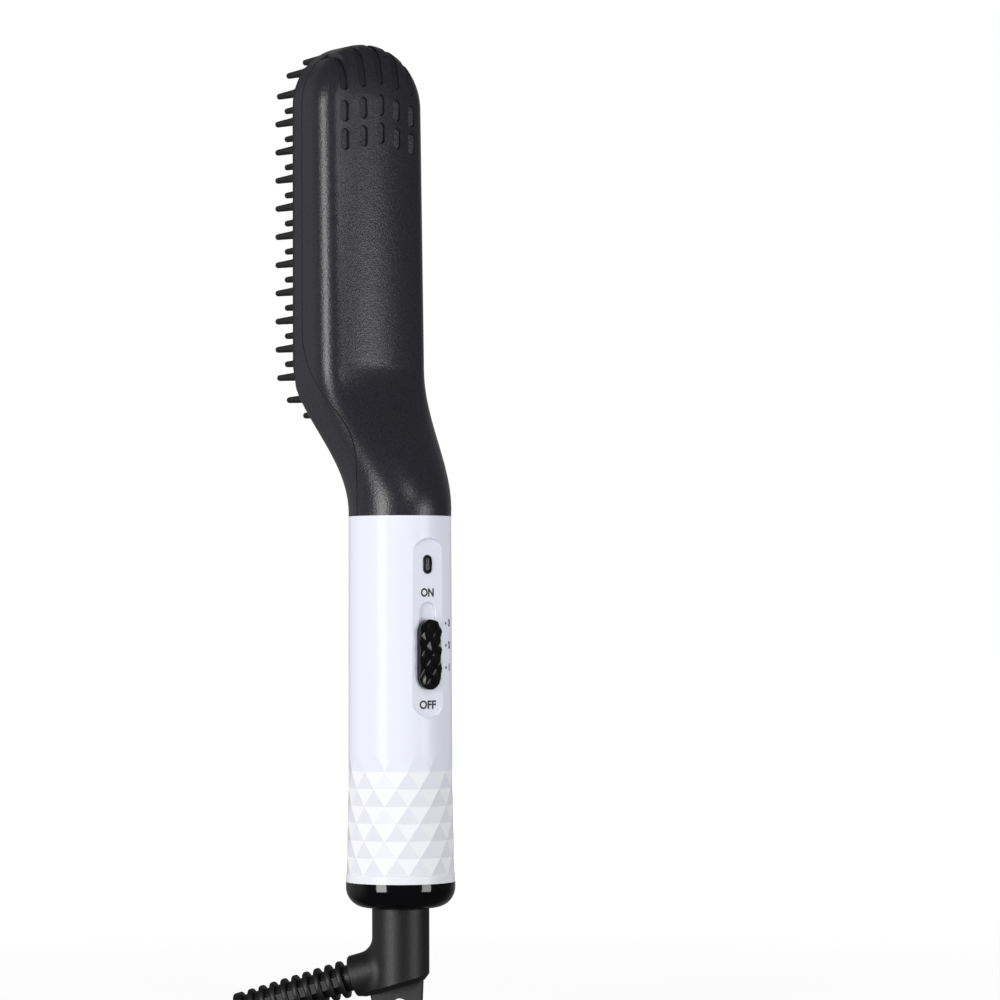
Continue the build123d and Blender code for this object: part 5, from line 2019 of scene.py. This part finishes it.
class BRUSH_OT_relief(bpy.types.Operator):
    """Build the ribbed relief that the cord leaves through"""

    bl_idname = "brush.relief"
    bl_label = "Strain relief"

    def execute(self, context):
        sizes = context.scene.brush_relief
        # Soft PVC: matt black that dulls the light between the ribs.
        material = moulded("pvc_soft_black", "111113", 0.46, 0.4 * MM, 0.15, 0.06)
        across = Vector((0, 0, 1)).cross(BORE_AXIS).normalized()
        turn = Matrix((across, BORE_AXIS.cross(across), BORE_AXIS)).transposed().to_4x4()
        place = Matrix.Translation(BORE_START) @ turn
        first = BORE_LENGTH - sizes.end_ring - sizes.ribs * sizes.rib_pitch + sizes.rib_width / 2
        last = first + (sizes.ribs - 1) * sizes.rib_pitch
        last_radius = sizes.tip_radius + (sizes.root_radius - sizes.tip_radius) / sizes.ribs
        ribs = grow(
            self.rib_tree(),
            [BORE_START + BORE_AXIS * first, BORE_START + BORE_AXIS * last],
            [(0, 1)],
            {
                "Material": material,
                "Count": sizes.ribs,
                "Radius": sizes.root_radius,
                "Last share": last_radius / sizes.root_radius,
                "Depth": sizes.root_radius - sizes.core_radius + 0.4 * MM,
                "Width": sizes.rib_width,
                "Rounding": sizes.rib_rounding,
            },
        )
        parts = (self.core(sizes, place), self.webs(sizes, place, first, last), ribs)
        add_piece("cord_relief", parts, material, "cord_end", ("strain_relief",))
        return {"FINISHED"}

    def rib_tree(self):
        """Rings with rounded edges, spread evenly along the seed line and slimmer towards its end."""
        tree, given = growth_tree("ribs", ("Count", "Radius", "Last share", "Depth", "Width", "Rounding"))
        line = add_node(tree, "GeometryNodeMeshToCurve", inputs={"Mesh": given["Geometry"]})
        points = add_node(
            tree,
            "GeometryNodeCurveToPoints",
            {"mode": "COUNT"},
            {"Curve": line.outputs["Curve"], "Count": given["Count"]},
        )
        half = add_node(tree, "ShaderNodeMath", {"operation": "MULTIPLY"}, {0: given["Depth"], 1: 0.5})
        middle = add_node(
            tree, "ShaderNodeMath", {"operation": "SUBTRACT"}, {0: given["Radius"], 1: half.outputs["Value"]}
        )
        circle = add_node(
            tree,
            "GeometryNodeCurvePrimitiveCircle",
            inputs={"Resolution": 48, "Radius": middle.outputs["Value"]},
        )
        section = add_node(
            tree,
            "GeometryNodeCurvePrimitiveQuadrilateral",
            inputs={"Width": given["Depth"], "Height": given["Width"]},
        )
        softened = add_node(
            tree,
            "GeometryNodeFilletCurve",
            {"mode": "POLY"},
            {
                "Curve": section.outputs["Curve"],
                "Count": 4,
                "Radius": given["Rounding"],
                "Limit Radius": True,
            },
        )
        ring = add_node(
            tree,
            "GeometryNodeCurveToMesh",
            inputs={"Curve": circle.outputs["Curve"], "Profile Curve": softened.outputs["Curve"]},
        )
        number = add_node(tree, "GeometryNodeInputIndex")
        final = add_node(tree, "ShaderNodeMath", {"operation": "SUBTRACT"}, {0: given["Count"], 1: 1.0})
        slim = add_node(
            tree,
            "ShaderNodeMapRange",
            inputs={
                "Value": number.outputs["Index"],
                "From Min": 0.0,
                "From Max": final.outputs["Value"],
                "To Min": 1.0,
                "To Max": given["Last share"],
            },
        )
        scale = add_node(
            tree,
            "ShaderNodeCombineXYZ",
            inputs={"X": slim.outputs["Result"], "Y": slim.outputs["Result"], "Z": 1.0},
        )
        close_tree(
            tree,
            given,
            points.outputs["Points"],
            ring.outputs["Mesh"],
            points.outputs["Rotation"],
            scale.outputs["Vector"],
        )
        return tree

    def core(self, sizes, place):
        """The sleeve from its spigot to the end ring, with the cord's bore through it."""
        end = BORE_LENGTH
        soft = sizes.rib_rounding
        section = [(sizes.spigot_radius, 0.0), (sizes.spigot_radius, sizes.spigot_length)]
        section += [(sizes.core_radius, sizes.spigot_length), (sizes.core_radius, end - sizes.end_ring)]
        section += rounded_edge((sizes.tip_radius - soft, end - sizes.end_ring + soft), soft, -pi / 2, 0, 4)
        section += rounded_edge((sizes.tip_radius - soft, end - soft), soft, 0, pi / 2, 4)
        chamfer = 0.25 * MM
        section += [(BORE_RADIUS + chamfer, end), (BORE_RADIUS, end - chamfer), (BORE_RADIUS, 0.0)]
        bm = bmesh.new()
        skin(bm, [ring_loop(place, *level) for level in section], closed=True)
        return to_mesh(bm, "core")

    def webs(self, sizes, place, first, last):
        """A flat web on each side that ties the ribs."""
        # From inside the core to just under the slimmest rib's edge
        low, high = sizes.core_radius - 0.8 * MM, sizes.tip_radius - 0.5 * MM
        half, soft = sizes.web_width / 2, SOFT_EDGE
        bm = bmesh.new()
        for side in (-1, 1):
            outline = [(low, -half), (high - soft, -half), (high, soft - half)]
            outline += [(high, half - soft), (high - soft, half), (low, half)]
            loops = [
                [place @ Vector((side * x, y, along)) for x, y in outline]
                for along in (first, last + sizes.rib_pitch)
            ]
            skin(bm, loops, closed=False)
        return to_mesh(bm, "webs")


class BRUSH_OT_markings(bpy.types.Operator):
    """Print the words, dots and figures round the slide"""

    bl_idname = "brush.markings"
    bl_label = "Markings"

    def execute(self, context):
        sizes = context.scene.brush_markings
        # Pad-printed ink: flat cool grey, a touch uneven at its edges.
        ink = moulded("pad_print_ink", "2E2E38", 0.55, 0.3 * MM, 0.1, 0.12)
        middle = (KNOB_LOW.z + KNOB_HIGH.z) / 2
        parts = []
        for text, z, width in (
            (sizes.upper_word, middle + sizes.upper_rise, sizes.upper_stretch),
            (sizes.lower_word, middle - sizes.lower_drop, 1.0),
        ):
            letters = self.word(text, sizes.letter_height, sizes.letter_weight, width)
            parts.append(self.printed(letters, 0.0, z, sizes.film))
        for i, figure in enumerate("321"):
            z = middle + sizes.middle_level + (1 - i) * sizes.level_pitch
            parts.append(self.printed(self.dot(sizes.dot_radius), sizes.dot_turn, z, sizes.film))
            mark = self.word(figure, sizes.figure_height, sizes.figure_weight, sizes.figure_stretch)
            parts.append(self.printed(mark, sizes.figure_turn, z, sizes.film))
        add_piece("markings", parts, ink, "handle")
        return {"FINISHED"}

    def word(self, text, height, weight, stretch):
        """Letters of that height, weight and width as a flat mesh, centred, in local X and Y."""
        curve = bpy.data.curves.new("word", "FONT")
        curve.body = text
        curve.align_x = "CENTER"
        curve.align_y = "CENTER"
        curve.size = height / CAPITAL_SHARE
        curve.offset = weight
        letters = bpy.data.objects.new("word", curve)
        bpy.context.scene.collection.objects.link(letters)
        seen = letters.evaluated_get(bpy.context.evaluated_depsgraph_get())
        mesh = bpy.data.meshes.new_from_object(seen)
        bpy.data.objects.remove(letters)
        bpy.data.curves.remove(curve)
        mesh.transform(Matrix.Diagonal((stretch, 1.0, 1.0, 1.0)))
        return mesh

    def dot(self, radius):
        """A flat round dot in local X and Y."""
        bm = bmesh.new()
        bmesh.ops.create_circle(bm, cap_ends=True, segments=24, radius=radius)
        return to_mesh(bm, "dot")

    def printed(self, mesh, turn, z, film):
        """Lays a flat mark on the sleeve, facing out at that turn and height."""
        bm = bmesh.new()
        bm.from_mesh(mesh)
        bpy.data.meshes.remove(mesh)
        bmesh.ops.triangulate(bm, faces=bm.faces[:])
        face_out = Matrix.Rotation(turn, 3, "Z")
        for vert in bm.verts:
            start = face_out @ Vector((-vert.co.x, OUTSIDE, 0)) + Vector((0, 0, z + vert.co.y))
            hit, spot, _, _ = NODES["handle_sleeve"].ray_cast(start, face_out @ Vector((0, -1, 0)))
            if not hit:
                raise RuntimeError("a marking has missed the sleeve")
            vert.co = spot + face_out @ Vector((0, film, 0))
        bmesh.ops.recalc_face_normals(bm, faces=bm.faces[:])
        out = face_out @ Vector((0, 1, 0))
        for face in bm.faces:
            if face.normal.dot(out) < 0:
                face.normal_flip()
        return to_mesh(bm, "mark")


class BRUSH_PT_panel(bpy.types.Panel):
    """The brush's sizes and its pieces"""

    bl_idname = "BRUSH_PT_panel"
    bl_label = "Straightener brush"
    bl_space_type = "VIEW_3D"
    bl_region_type = "UI"
    bl_category = "Brush"

    def draw(self, context):
        for operator in OPERATORS:
            self.layout.operator(operator.bl_idname)
        for name, group in GROUPS.items():
            column = self.layout.column(align=True)
            for size in group.__annotations__:
                column.prop(getattr(context.scene, name), size)


GROUPS = {
    "brush_stage": StageSizes,
    "brush_colours": FinishColours,
    "brush_comb": CombSizes,
    "brush_plate": PlateSizes,
    "brush_shell": ShellSizes,
    "brush_knob": KnobSizes,
    "brush_relief": ReliefSizes,
    "brush_markings": MarkingSizes,
}
OPERATORS = (
    BRUSH_OT_stage,
    BRUSH_OT_finishes,
    BRUSH_OT_comb,
    BRUSH_OT_plate,
    BRUSH_OT_knob,
    BRUSH_OT_relief,
    BRUSH_OT_markings,
)


def register():
    for group in GROUPS.values():
        bpy.utils.register_class(group)
    for operator in OPERATORS:
        bpy.utils.register_class(operator)
    bpy.utils.register_class(BRUSH_PT_panel)
    for name, group in GROUPS.items():
        setattr(bpy.types.Scene, name, PointerProperty(type=group))


def unregister():
    for name in GROUPS:
        delattr(bpy.types.Scene, name)
    bpy.utils.unregister_class(BRUSH_PT_panel)
    for operator in reversed(OPERATORS):
        bpy.utils.unregister_class(operator)
    for group in reversed(list(GROUPS.values())):
        bpy.utils.unregister_class(group)


def main():
    """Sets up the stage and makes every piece."""
    register()
    bpy.ops.brush.stage()
    bpy.ops.brush.finishes()
    bpy.ops.brush.comb()
    bpy.ops.brush.plate()
    bpy.ops.brush.knob()
    bpy.ops.brush.relief()
    bpy.ops.brush.markings()


if __name__ == "__main__":
    main()
